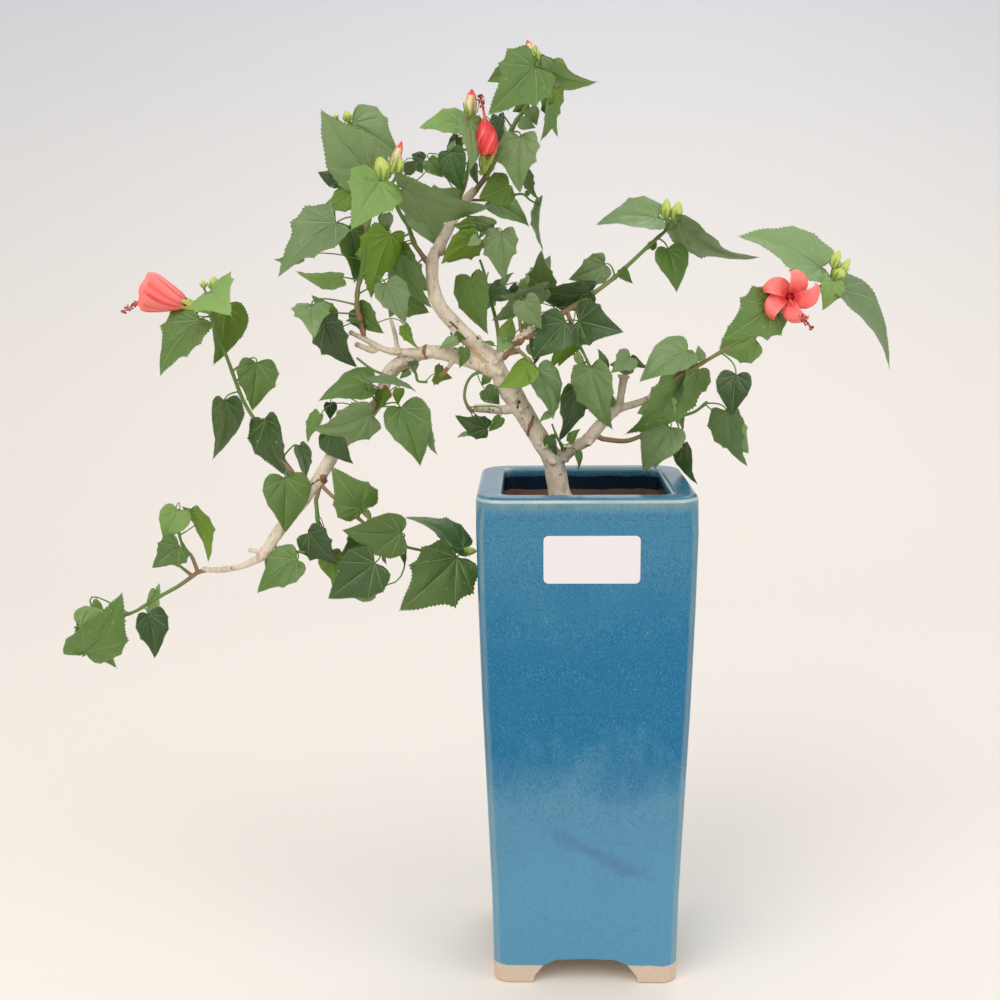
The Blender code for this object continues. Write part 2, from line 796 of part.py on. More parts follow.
def cavity_half(z):
    """Half width of the pot's inside at a height."""
    top = POT_TOP / 2 - RIM_WALL
    floor = CAVITY_FLOOR_WIDTH / 2
    share = (z - CAVITY_FLOOR) / (POT_HEIGHT - CAVITY_FLOOR)
    return floor + (top - floor) * share


def make_pot(into, cutters):
    """The pot: outside, rounded rim and cavity in one loft, arches cut below."""
    rings = [rounded_square(pot_half(0) - 0.6, BODY_CORNER, 0.0)]
    for share in (0.004, 0.18, 0.38, 0.58, 0.78, 0.93):
        z = POT_HEIGHT * share
        rings.append(rounded_square(pot_half(z), BODY_CORNER, z))
    for turn_step in range(4):
        turn = turn_step * math.pi / 8
        lift = RIM_ROUND * math.sin(turn)
        pull = RIM_ROUND * (1 - math.cos(turn))
        z = POT_HEIGHT - RIM_ROUND + lift
        rings.append(rounded_square(POT_TOP / 2 - pull, RIM_CORNER - pull, z))
    for turn_step in range(4, -1, -1):
        turn = turn_step * math.pi / 8
        lift = RIM_ROUND * math.sin(turn)
        pull = RIM_ROUND * (1 - math.cos(turn))
        z = POT_HEIGHT - RIM_ROUND + lift
        half = POT_TOP / 2 - RIM_WALL + pull
        rings.append(rounded_square(half, 7.0 + pull, z))
    for z in (POT_HEIGHT - SOIL_BELOW_RIM, CAVITY_FLOOR):
        rings.append(rounded_square(cavity_half(z), 7.0, z))
    pot = add_object(loft(rings), "pot", into, (0.06, 0.21, 0.32), 0.15)
    for name, along_x in (("arch_cutter_x", True), ("arch_cutter_y", False)):
        cutter = add_object(arch_prism(along_x), name, cutters)
        cutter.hide_render = True
        cutter.display_type = "WIRE"
        cut = pot.modifiers.new(name, "BOOLEAN")
        cut.operation = "DIFFERENCE"
        cut.solver = "EXACT"
        cut.object = cutter
    return pot


def arch_prism(along_x):
    """A low flat-topped arch that runs right through under the pot."""
    inner = POT_BOTTOM / 2 - FOOT_WIDTH
    profile = (
        (-inner - 1.5, -5.0),
        (inner + 1.5, -5.0),
        (inner, FOOT_HEIGHT * 0.25),
        (inner - FOOT_SLOPE * 0.55, FOOT_HEIGHT * 0.72),
        (inner - FOOT_SLOPE * 1.3, FOOT_HEIGHT * 0.95),
        (0.0, FOOT_HEIGHT),
        (-inner + FOOT_SLOPE * 1.3, FOOT_HEIGHT * 0.95),
        (-inner + FOOT_SLOPE * 0.55, FOOT_HEIGHT * 0.72),
        (-inner, FOOT_HEIGHT * 0.25),
    )
    reach = POT_TOP
    rings = []
    for end in (-reach, reach):
        if along_x:
            rings.append([Vector((end, across, z)) * MM for across, z in profile])
        else:
            rings.append([Vector((across, end, z)) * MM for across, z in profile])
    return loft(rings)


def make_soil(into):
    top = POT_HEIGHT - SOIL_BELOW_RIM
    rings = []
    for z in (CAVITY_FLOOR + GAP, top):
        rings.append(rounded_square(cavity_half(z) - GAP, 7.0 - GAP, z))
    return add_object(loft(rings), "soil", into, (0.05, 0.032, 0.02), 0.95)


def make_limbs(into, wood):
    """Trunk first, then each bough seated on what it grows from."""
    soil_top = (POT_HEIGHT - SOIL_BELOW_RIM + GAP) * MM
    route = route_of(TRUNK)
    foot = route[0][0].copy()
    foot.z = soil_top
    route[0] = (foot, route[0][1])
    rings = tube_rings(route, LIMB_SIDES, 0.75, Vector((0.0, 0.0, 1.0)))
    bm = loft(rings)
    bodies = {"trunk": tree_of(bm)}
    add_object(bm, "trunk", into, wood, 0.85)
    for name, stops in LIMBS.items():
        route = route_of(stops)
        trees = list(bodies.values())
        route = trim_start(route, trees)
        rings = tube_rings(route, LIMB_SIDES, 0.8)
        middle = seat(rings, route, trees)
        bm = loft(rings, middle)
        bodies[name] = tree_of(bm)
        add_object(bm, name, into, wood, 0.85)
    return bodies


def leaf_frame(leaf, depth, draw):
    """Foot, long axis, cross axis, upward normal, length and width of a leaf."""
    foot = at(leaf.foot_u, leaf.foot_v, depth)
    tip = at(leaf.tip_u, leaf.tip_v, depth)
    size = square_size(foot)
    seen_length = (tip - foot).length
    width = leaf.width * size
    view = ((foot + tip) / 2 - EYE).normalized()
    along = tip - foot
    roll = 0.0
    if width >= LEAF_RATIO * seen_length:
        length = min(width / LEAF_RATIO, seen_length * 1.8)
        dip = math.sqrt(max(length ** 2 - seen_length ** 2, 0.0))
        sign = -1.0 if leaf.lay < 0 else 1.0
        along = along + view * (dip * sign)
    else:
        width_real = LEAF_RATIO * seen_length
        roll = math.acos(max(width / width_real, 0.25)) * draw.choice((-1, 1))
        width = width_real
    length = along.length
    along = along.normalized()
    cross = along.cross(view).normalized()
    normal = cross.cross(along).normalized()
    turned = cross * math.cos(roll) + normal * math.sin(roll)
    normal = turned.cross(along).normalized()
    faces_eye = normal.dot(view) < 0
    if faces_eye == (leaf.side in UNDERSIDES):
        normal = -normal
    return foot, along, turned, normal, length, width


def meets_well(start, foot, along, normal):
    """Whether a stalk from this side can be drawn as one with its leaf."""
    run = (foot - start).normalized()
    onward = run.dot(along)
    return onward > 0.45 or (abs(run.dot(normal)) > 0.6 and onward > -0.5)


def leaf_solid(foot, along, cross, normal, length, width, start, thick):
    """A thin leaf, thickest at its midrib, with its three-sided stalk if it has one."""
    half = SMALL_HALF if length < SMALL_LEAF * MM else LARGE_HALF
    radius = STALK_WIDTH * MM / 2
    neck = min(radius * 2 / width, 0.5)
    outline = [(neck, 0.0)] + list(half) + [(0.0, 1.0)]
    outline += [(-a, b) for a, b in reversed(half)] + [(-neck, 0.0)]
    bm = bmesh.new()
    corners = []
    for a, b in outline + [(0.0, 0.42)]:
        rise = LEAF_BULGE * length * math.sin(math.pi * max(b, 0.0))
        rise += LEAF_FOLD * width * abs(a)
        corners.append(foot + cross * (a * width / 2) + along * (b * length) + normal * rise)
    middle = corners.pop()
    upper = bm.verts.new(middle + normal * (thick / 2))
    lower = bm.verts.new(middle - normal * (thick / 2))
    rim = [bm.verts.new(place) for place in corners]
    stalked = start is not None and meets_well(start, foot, along, normal)
    down = normal
    if stalked:
        run = (foot - start).normalized()
        if run.dot(along) < abs(run.dot(normal)):
            down = along if run.dot(normal) < 0 else -along
    keel = bm.verts.new(foot - down * (radius * 1.5))
    for first, second in zip(rim, rim[1:] + rim[:1]):
        bm.faces.new((first, second, upper))
    for first, second in zip(rim, rim[1:]):
        bm.faces.new((second, first, lower))
    bm.faces.new((rim[0], keel, lower))
    bm.faces.new((keel, rim[-1], lower))
    if not stalked:
        bm.faces.new((rim[-1], keel, rim[0]))
    else:
        flat = (cross - run * cross.dot(run)).normalized()
        drop = run.cross(flat) * (radius * 0.75)
        if drop.dot(down) < 0:
            drop = -drop
        flat *= radius * 0.5
        root = [bm.verts.new(p) for p in (start + flat, start - flat, start - drop)]
        hub = (rim[0], rim[-1], keel)
        for k in range(3):
            n = (k + 1) % 3
            bm.faces.new((hub[k], hub[n], root[n], root[k]))
        bm.faces.new(root)
    bmesh.ops.recalc_face_normals(bm, faces=bm.faces[:])
    return bm


def leaf_bodies(frame, start):
    """A leaf joined to its stem: one body, or two where the stalk turns back."""
    foot, along, normal, length = frame[0], frame[1], frame[3], frame[4]
    bodies = [leaf_solid(*frame, start, LEAF_THICK * MM)]
    if not meets_well(start, foot, along, normal):
        inner = foot + along * (length * 0.38) + normal * (LEAF_BULGE * length * 0.88)
        radius = STALK_WIDTH * MM / 2
        bodies.append(tube([(start, radius * 0.6), (inner, radius)], STEM_SIDES))
    return bodies


def stalk(start, foot, tip, start_radius):
    """A bud's stalk from a stem's middle to a third of the bud."""
    radius = STALK_WIDTH * MM / 2
    route = [(start, min(start_radius * 0.6, radius)), (foot.lerp(tip, 0.3), radius)]
    return tube(route, STEM_SIDES)


def spindle(foot, tip, width, share=0.45, blunt=0.0):
    """A five-sided bud: pointed at its tip, swollen below the middle."""
    rings = []
    length = (tip - foot).length
    way = (tip - foot).normalized()
    side = way.orthogonal().normalized()
    for t, swell in ((0.0, 0.45), (share, 1.0), (1.0, 0.15 + blunt)):
        rings.append(ring(foot + way * (t * length), way, side, width / 2 * swell, 5))
    return loft(rings)


def flare(foot, tip, first, last):
    """Furled petals: a body that widens towards its open end."""
    way = (tip - foot).normalized()
    side = way.orthogonal().normalized()
    length = (tip - foot).length
    rings = []
    for t, swell in ((-0.15, first * 0.5), (0.35, first * 1.05), (0.95, last), (1.0, last * 0.8)):
        rings.append(ring(foot + way * (t * length), way, side, swell / 2, 6))
    return loft(rings)


def petal_ring(centre, facing, reach):
    """Five broad petals that curl back from a throat."""
    bodies = []
    side = facing.orthogonal().normalized()
    across = facing.cross(side)
    for k in range(5):
        turn = 2 * math.pi * k / 5 + 0.3
        out = side * math.cos(turn) + across * math.sin(turn)
        wide = facing.cross(out)
        rings = []
        thick = 0.45 * MM
        for t, lift, half in ((0.0, -0.35, 0.20), (0.45, 0.10, 0.42), (0.85, 0.06, 0.46),
                              (1.0, -0.22, 0.30)):
            middle = centre + out * (reach * t) + facing * (reach * lift)
            rings.append([
                middle + wide * (half * reach) + facing * thick,
                middle - wide * (half * reach) + facing * thick,
                middle - wide * (half * reach) - facing * thick,
                middle + wide * (half * reach) - facing * thick,
            ])
        bodies.append(loft(rings))
    return bodies


def crowding(place, used):
    """Extra distance charged to a stem point that already bears a stalk."""
    if used and min((place - other).length for other in used) < STALK_APART * MM:
        return STALK_APART * MM * 2
    return 0.0


def nearest_stem(routes, u, v, used=None):
    """Depth, place and radius of the free stem point nearest to a square."""
    best = None
    ray = (at(u, v, 0.0) - EYE).normalized()
    for route in routes:
        for place, radius in route:
            reach = place - EYE
            miss = (reach - ray * reach.dot(ray)).length
            miss += crowding(place, used)
            if best is None or miss < best[0]:
                best = (miss, place, radius)
    if used is not None:
        used.append(best[1])
    return best[1].y / MM, best[1], best[2]


def touches(bodies, others):
    for body in bodies:
        for other in others:
            if body.overlap(other):
                return True
    return False


def shoot_stems(shoot, bodies):
    """Routes of a shoot's stems, the first trimmed clear of the wood."""
    trees = list(bodies.values())
    routes = []
    for index, stops in enumerate(shoot["stems"]):
        route = route_of(stops)
        if index == 0:
            route = trim_start(route, trees)
        else:
            joint = route[0][0]
            main_stem = finer_route(routes[0], 6)
            route[0] = min(main_stem, key=lambda stop: (stop[0] - joint).length)
        routes.append(route)
    return routes


def fat_tube(route):
    return tree_of(tube([(place, radius + GAP * MM) for place, radius in route], STEM_SIDES))


def arm_proxy(start, foot):
    radius = (STALK_WIDTH / 2 + GAP) * MM
    return tree_of(tube([(start, radius), (foot, radius)], STEM_SIDES))


def shoot_parts(shoot, routes, solid, others, draw):
    """All bodies of one shoot: stems, leaves on stalks, buds and blossoms."""
    dense_routes = [finer_route(route, 6)[:-1] for route in routes]
    parts = [tube(route, STEM_SIDES) for route in routes]
    own = []
    arms = []
    used = []
    blocked = solid + others
    for leaf in shoot["leaves"]:
        depth, start, radius = nearest_stem(dense_routes, leaf.foot_u, leaf.foot_v, used)
        choice = None
        for nudge in NUDGES:
            frame = leaf_frame(leaf, depth + leaf.lay + nudge, draw)
            proxy = tree_of(leaf_solid(*frame, None, CLEAR_THICK * MM))
            arm = arm_proxy(start, frame[0])
            if touches([proxy, arm], blocked):
                continue
            if choice is None:
                choice = (frame, proxy, arm)
            if not touches([proxy], own):
                choice = (frame, proxy, arm)
                break
        if choice is None:
            continue
        frame, proxy, arm = choice
        own.append(proxy)
        arms.append(arm)
        parts.extend(leaf_bodies(frame, start))
        echo = echo_leaf(frame, dense_routes, blocked, own, used, draw)
        parts.extend(echo)
    for bud in shoot.get("buds", ()):
        depth, start, radius = nearest_stem(dense_routes, bud.foot_u, bud.foot_v)
        foot = at(bud.foot_u, bud.foot_v, depth)
        tip = at(bud.tip_u, bud.tip_v, depth)
        width = bud.width * square_size(foot)
        parts.append(spindle(foot, tip, width))
        parts.append(stalk(start, foot, tip, radius))
    for piece in shoot.get("furled", ()):
        foot_u, foot_v, tip_u, tip_v, first, last = piece
        depth = nearest_stem(dense_routes, foot_u, foot_v)[0]
        foot = at(foot_u, foot_v, depth)
        tip = at(tip_u, tip_v, depth)
        size = square_size(foot)
        if first == last:
            root = foot.lerp(tip, -0.3)
            parts.append(tube([(root, first * size / 2), (tip, last * size / 2)], 4))
            parts.append(spindle(tip.lerp(foot, 0.25), tip, 8 * size, 0.6, 0.3))
        else:
            parts.append(flare(foot, tip, first * size, last * size))
    if "open" in shoot:
        (centre_u, centre_v, reach), column = shoot["open"]
        depth, start, radius = nearest_stem(dense_routes, centre_u, centre_v)
        depth -= 4
        centre = at(centre_u, centre_v, depth)
        size = square_size(centre)
        facing = (EYE - centre).normalized()
        parts.extend(petal_ring(centre, facing, reach * size))
        parts.append(spindle(start, centre + facing * 2 * MM, 12 * size, 0.6, 0.5))
        foot_u, foot_v, tip_u, tip_v, first, last = column
        foot = at(foot_u, foot_v, depth)
        tip = at(tip_u, tip_v, depth - 10)
        parts.append(tube([(foot, first * size / 2), (tip, last * size / 2)], 4))
        parts.append(spindle(tip.lerp(foot, 0.25), tip, 8 * size, 0.6, 0.3))
    return parts, own + arms + [tree_of(part) for part in parts]


def echo_leaf(frame, dense_routes, blocked, own, used, draw):
    """A smaller leaf behind a front one, its upper face to the back."""
    foot, along, cross, normal, length, width = frame
    wanted = draw.random() < ECHO_SHARE
    size = draw.uniform(0.70, 0.85)
    back = draw.uniform(18.0, 45.0)
    twist = draw.uniform(-0.9, 0.9)
    if not wanted or length < ECHO_SMALLEST * MM:
        return []
    view = (foot - EYE).normalized()
    for extra in (0.0, 6.0, 12.0, -6.0):
        shift = view * ((back + extra) * MM)
        middle = foot + along * (length * 0.5) + shift
        flat = (along - view * along.dot(view)).normalized()
        side = flat.cross(view).normalized()
        new_along = (flat * math.cos(twist) + side * math.sin(twist)).normalized()
        new_along = (new_along + view * draw.uniform(-0.35, 0.35)).normalized()
        new_cross = new_along.cross(view).normalized()
        new_normal = new_cross.cross(new_along).normalized()
        if new_normal.dot(view) < 0:
            new_normal = -new_normal
        new_length = min(length, 34 * MM) * size
        new_width = new_length * LEAF_RATIO
        new_foot = middle - new_along * (new_length * 0.5)
        start = min(
            (place for route in dense_routes for place, radius in route),
            key=lambda place: (place - new_foot).length + crowding(place, used),
        )
        made = (new_foot, new_along, new_cross, new_normal, new_length, new_width)
        proxy = tree_of(leaf_solid(*made, None, CLEAR_THICK * MM))
        arm = arm_proxy(start, new_foot)
        if touches([proxy, arm], blocked) or touches([proxy], own):
            continue
        own.append(proxy)
        own.append(arm)
        used.append(start)
        return leaf_bodies(made, start)
    return []


def join_parts(parts, name, into, colour):
    """Join a shoot's bodies in one closed solid, shaken a little until they join."""
    draw = random.Random(SEED)
    whole = add_object(parts[0], name, into, colour, 0.6)
    for attempt in range(TRIES):
        pile = collection(name + "_pieces")
        for index, bm in enumerate(parts[1:]):
            shake = Vector([draw.uniform(-1, 1) for axis in range(3)])
            shaken = bm.copy()
            bmesh.ops.translate(shaken, verts=shaken.verts[:], vec=shake * (attempt * SHAKE * MM))
            add_object(shaken, name + "_piece_" + str(index), pile)
        join = whole.modifiers.new("join", "BOOLEAN")
        join.operation = "UNION"
        join.operand_type = "COLLECTION"
        join.collection = pile
        join.solver = "MANIFOLD"
        depsgraph = bpy.context.evaluated_depsgraph_get()
        joined = bpy.data.meshes.new_from_object(whole.evaluated_get(depsgraph))
        whole.modifiers.clear()
        for piece in list(pile.objects):
            bpy.data.objects.remove(piece)
        bpy.data.collections.remove(pile)
        if largest_body(joined):
            break
    whole.data = joined
    joined.name = name
    joined.materials.clear()
    joined.materials.append(bpy.data.materials[name])
    return whole


def drop_folded_pairs(bm):
    """Remove pairs of faces that lie back to back on the same three corners."""
    seen = {}
    for face in bm.faces:
        seen.setdefault(frozenset(face.verts), []).append(face)
    folded = [face for faces in seen.values() if len(faces) == 2 for face in faces]
    bmesh.ops.delete(bm, geom=folded, context="FACES")


def largest_body(mesh):
    """Drop scrap that is loose from a mesh's largest body; tell if all is well."""
    bm = bmesh.new()
    bm.from_mesh(mesh)
    bmesh.ops.triangulate(bm, faces=bm.faces[:])
    drop_folded_pairs(bm)
    unseen = set(bm.faces)
    bodies = []
    while unseen:
        body = []
        front = [unseen.pop()]
        while front:
            face = front.pop()
            body.append(face)
            for edge in face.edges:
                for other in edge.link_faces:
                    if other in unseen:
                        unseen.remove(other)
                        front.append(other)
        bodies.append(body)
    bodies.sort(key=len, reverse=True)
    whole = all(len(body) < 16 for body in bodies[1:])
    scrap = [face for body in bodies[1:] for face in body]
    bmesh.ops.delete(bm, geom=scrap, context="FACES")
    bmesh.ops.recalc_face_normals(bm, faces=bm.faces[:])
    closed = all(edge.is_manifold for edge in bm.edges)
    bm.to_mesh(mesh)
    bm.free()
    return closed and whole


def set_over_origin(objects):
    """Move the plant so the middle of its box stands over the origin."""
    low = Vector((1.0, 1.0, 1.0)) * 100
    high = -low
    for item in objects:
        for vert in item.data.vertices:
            for axis in range(3):
                low[axis] = min(low[axis], vert.co[axis])
                high[axis] = max(high[axis], vert.co[axis])
    shift = Vector((-(low.x + high.x) / 2, -(low.y + high.y) / 2, 0.0))
    for item in bpy.data.objects:
        for vert in item.data.vertices:
            vert.co += shift


def main():
    for item in list(bpy.data.objects):
        bpy.data.objects.remove(item)
    plant = collection("turks_cap_bonsai")
    cutters = collection("cutters")
    pot = make_pot(plant, cutters)
    soil = make_soil(plant)
    bodies = make_limbs(plant, (0.36, 0.30, 0.23))
    vessel = []
    for item in (pot, soil):
        bm = bmesh.new()
        bm.from_mesh(item.data)
        vessel.append(tree_of(bm))
        bm.free()
    solid = vessel + list(bodies.values())
    routes = {name: shoot_stems(shoot, bodies) for name, shoot in SHOOTS.items()}
    taken = {name: [fat_tube(route) for route in routes[name]] for name in SHOOTS}
    for number, (name, shoot) in enumerate(SHOOTS.items()):
        others = [tree for other, trees in taken.items() if other != name for tree in trees]
        draw = random.Random(SEED + number)
        parts, own = shoot_parts(shoot, routes[name], solid, others, draw)
        taken[name] = taken[name] + own
        join_parts(parts, name, plant, (0.13, 0.24, 0.06))
    set_over_origin([item for item in plant.objects])


main()
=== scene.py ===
"""Turk's cap bonsai in a tall blue-glazed pot, dressed for show.

The solids of the plant give every size and place.  Here the pot gets its glaze,
the wood its bark, and each foliage shoot its stems, leaf stalks, veined leaves,
buds and blossoms, placed by the same tables and the same seeded rule as its solid.

Tables are in squares of a front drawing, 1000 wide and high and seen from EYE,
with depths and widths in millimetres; leaf and bud widths are in squares.
"""
import json
import math
import random
from collections import namedtuple

import bmesh
import bpy
from mathutils import Matrix, Vector, noise
from mathutils.bvhtree import BVHTree
from mathutils.kdtree import KDTree

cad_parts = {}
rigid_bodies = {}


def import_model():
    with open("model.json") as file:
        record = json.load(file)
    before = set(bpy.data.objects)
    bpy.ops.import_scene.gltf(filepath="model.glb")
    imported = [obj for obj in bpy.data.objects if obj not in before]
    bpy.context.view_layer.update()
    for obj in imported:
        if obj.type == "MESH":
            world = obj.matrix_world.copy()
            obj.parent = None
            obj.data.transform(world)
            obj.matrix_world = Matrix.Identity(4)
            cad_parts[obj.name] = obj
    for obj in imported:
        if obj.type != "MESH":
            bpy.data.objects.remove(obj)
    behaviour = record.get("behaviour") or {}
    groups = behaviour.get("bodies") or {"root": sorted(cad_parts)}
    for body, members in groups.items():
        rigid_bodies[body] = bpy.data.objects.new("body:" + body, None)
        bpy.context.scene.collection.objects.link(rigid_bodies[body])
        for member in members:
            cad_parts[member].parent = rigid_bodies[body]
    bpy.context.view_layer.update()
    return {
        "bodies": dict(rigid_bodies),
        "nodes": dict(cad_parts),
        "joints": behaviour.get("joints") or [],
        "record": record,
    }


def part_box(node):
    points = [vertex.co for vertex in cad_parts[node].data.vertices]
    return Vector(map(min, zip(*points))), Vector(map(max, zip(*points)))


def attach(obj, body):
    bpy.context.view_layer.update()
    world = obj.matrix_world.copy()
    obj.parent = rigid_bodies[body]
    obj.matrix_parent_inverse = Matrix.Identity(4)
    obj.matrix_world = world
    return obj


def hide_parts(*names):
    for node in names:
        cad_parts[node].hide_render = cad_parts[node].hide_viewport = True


bl_info = {
    "name": "Turk's cap bonsai",
    "version": (1, 0, 0),
    "blender": (4, 5, 0),
    "location": "View3D > Sidebar > Bonsai",
    "description": "Dresses a bonsai's solids with glaze, bark, leaves and blossoms",
    "category": "Object",
}

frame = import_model()
POT_LOW, POT_HIGH = [Vector(corner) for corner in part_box("pot")]
MM = 0.001
TURN = 2 * math.pi
SHIFT = Vector(((POT_LOW.x + POT_HIGH.x) / 2, (POT_LOW.y + POT_HIGH.y) / 2, 0.0))

# Front drawing: the eye, its turn, dip and roll, and squares per unit of slope.
EYE = Vector((-28.3, -733.4, 392.1)) * MM + SHIFT
EYE_YAW = math.radians(-1.42)
EYE_DIP = math.radians(10.06)
EYE_ROLL = math.radians(-0.42)
SQUARES = 1340.0
SHEET_MIDDLE = 500.0

# Pot and soil, in millimetres
POT_TOP = 116.4
POT_BOTTOM = 101.0
POT_HEIGHT = 272.9
# Share of the height, and the width there.
POT_SIDES = ((0.0, 101.0), (0.18, 102.8), (0.38, 106.9), (0.58, 111.1), (0.78, 114.2), (1.0, 116.4))
BODY_CORNER = 9.0
RIM_CORNER = 16.0
RIM_WALL = 13.7
RIM_ROUND = 3.0
CAVITY_FLOOR_WIDTH = 83.0
CAVITY_FLOOR = 22.0
CAVITY_CORNER = 7.0
FOOT_WIDTH = 22.5
FOOT_HEIGHT = 14.0
FOOT_SLOPE = 9.0
FOOT_ROUND = 0.9
SOIL_BELOW_RIM = 20.0
SOIL_THICK = 30.0
GRIT_CRUMBS = 420
LABEL_THICK = 0.16
# Shares of the height where the pot's sides are bowed.
BOWED_SHARES = (0.04, 0.10, 0.18, 0.28, 0.38, 0.48, 0.58, 0.68, 0.78, 0.86, 0.93)
GAP = 0.35
SEAT_GAP = 0.75
SLIDE_STEP = 0.1

# Wood and leaves, as in the solids: widths, gaps and nudges in millimetres,
# a leaf's form and its half outline in shares of its length and width.
LIMB_SIDES = 7
STEM_SIDES = 3
LEAF_RATIO = 0.84
SMALL_LEAF = 11.0
STALK_APART = 1.3
LEAF_BULGE = 0.07
LEAF_FOLD = 0.09
STALK_WIDTH = 1.15
LEAF_THICK = 0.9
CLEAR_THICK = 1.8
NUDGES = (0, 3, -3, 6, -6, 10, -10, 15, -15, 20, -20)
ECHO_SHARE = 0.28
ECHO_SMALLEST = 14.0
SEED = 1961
UNDERSIDES = "uy"
LARGE_HALF = ((0.62, -0.11), (1.0, 0.30), (0.56, 0.68))
SMALL_HALF = ((0.90, 0.06), (0.84, 0.50))

# Buds and blossoms: how far one leans out before its leaves, the feet of the buds
# that show red, and finishes of a furled blossom's streaks, petals and margins.
BLOOM_AHEAD = {"crown_top": 17.0}
OPEN_BLOOM_AHEAD = 9.0
RED_TIPPED = ((534, 57), (391, 174), (470, 118))
RED_KINDS = ("red", "petal", "coral_deep")
CORAL_KINDS = ("coral_deep", "coral", "coral_pale")
PETALS = 5
PETAL_THICK = 0.4
STREAKED_COLUMNS = (0, 1, 5, 7)
BRACTS = 7
CALYX_SIDES = 15
ANTHERS = 26
STYLES = 8

Leaf = namedtuple("Leaf", "foot_u foot_v tip_u tip_v width side lay")
LeafFrame = namedtuple("LeafFrame", "foot along cross normal length width")
Placed = namedtuple("Placed", "frame start side")

# Limbs: each stop is a square of the drawing, its depth and the limb's width.
TRUNK = (
    (560, 500, 0, 15), (559, 492, 0, 12.4), (553, 461, -1, 11.6), (543, 443, -2, 10.8),
    (532, 426, -3, 10.5), (515, 398, -5, 11.8), (503, 380, -6, 12.6),
)
LIMBS = {
    "leader": (
        (496, 366, -6, 9.8), (490, 356, -6, 9.4), (480, 348, -6, 8.8), (468, 338, -6, 8.5),
        (455, 324, -5, 8.2), (441, 308, -4, 8), (434, 290, -3, 7.2), (432, 262, -2, 6.8),
        (440, 245, -1, 6.1), (452, 222, 0, 5.4), (462, 205, 0, 5), (475, 190, 0, 4.6),
    ),
    "left_bough": (
        (492, 370, -7, 9.8), (472, 360, -9, 9.5), (454, 355, -10, 8.8), (434, 352, -11, 7.5),
        (420, 353, -12, 6), (400, 352, -13, 4.4), (385, 350, -13, 3.4), (370, 342, -14, 3),
        (362, 337, -14, 2.8),
    ),
    "left_low_bough": (
        (426, 352, -9, 7.6), (410, 358, -9, 7.5), (395, 366, -10, 7.2), (387, 376, -11, 7),
        (383, 390, -12, 7), (378, 402, -12, 7), (360, 425, -13, 7), (345, 440, -13, 7),
        (333, 455, -14, 7.2), (318, 480, -15, 7.2), (306, 497, -17, 6.8), (280, 530, -19, 6.7),
        (270, 545, -20, 6.4), (262, 556, -20, 5), (250, 563, -21, 4), (235, 568, -21, 3.5),
        (215, 570, -22, 3.3), (203, 569, -22, 3),
    ),
    "mid_bough": (
        (502, 356, -6, 5.4), (506, 350, -7, 5.2), (515, 342, -7, 4.8), (524, 335, -8, 4.6),
        (534, 331, -8, 4.6), (542, 328, -8, 4.2),
    ),
    "right_bough": (
        (553, 463, -1, 7.4), (562, 457, -1, 7.2), (575, 447, -1, 7), (587, 440, -2, 7), (600, 425, -3, 6.6),
        (606, 420, -4, 6.2), (616, 410, -5, 5), (641, 402, -7, 3.7), (655, 394, -8, 3),
    ),
    "cut_stub_left": (
        (515, 408, -5, 5), (503, 410, -6, 5), (490, 409, -7, 4.8), (475, 408, -7, 4.4),
    ),
    "cut_stub_right": (
        (614, 414, -4, 4.2), (619, 408, -4, 4.4), (621, 395, -3, 4.3), (624, 376, -2, 5),
    ),
    "bare_twig": (
        (399, 352, -13, 2.6), (397, 345, -13, 2.7), (395, 335, -13, 2.6), (391, 320, -12, 2.2),
    ),
}
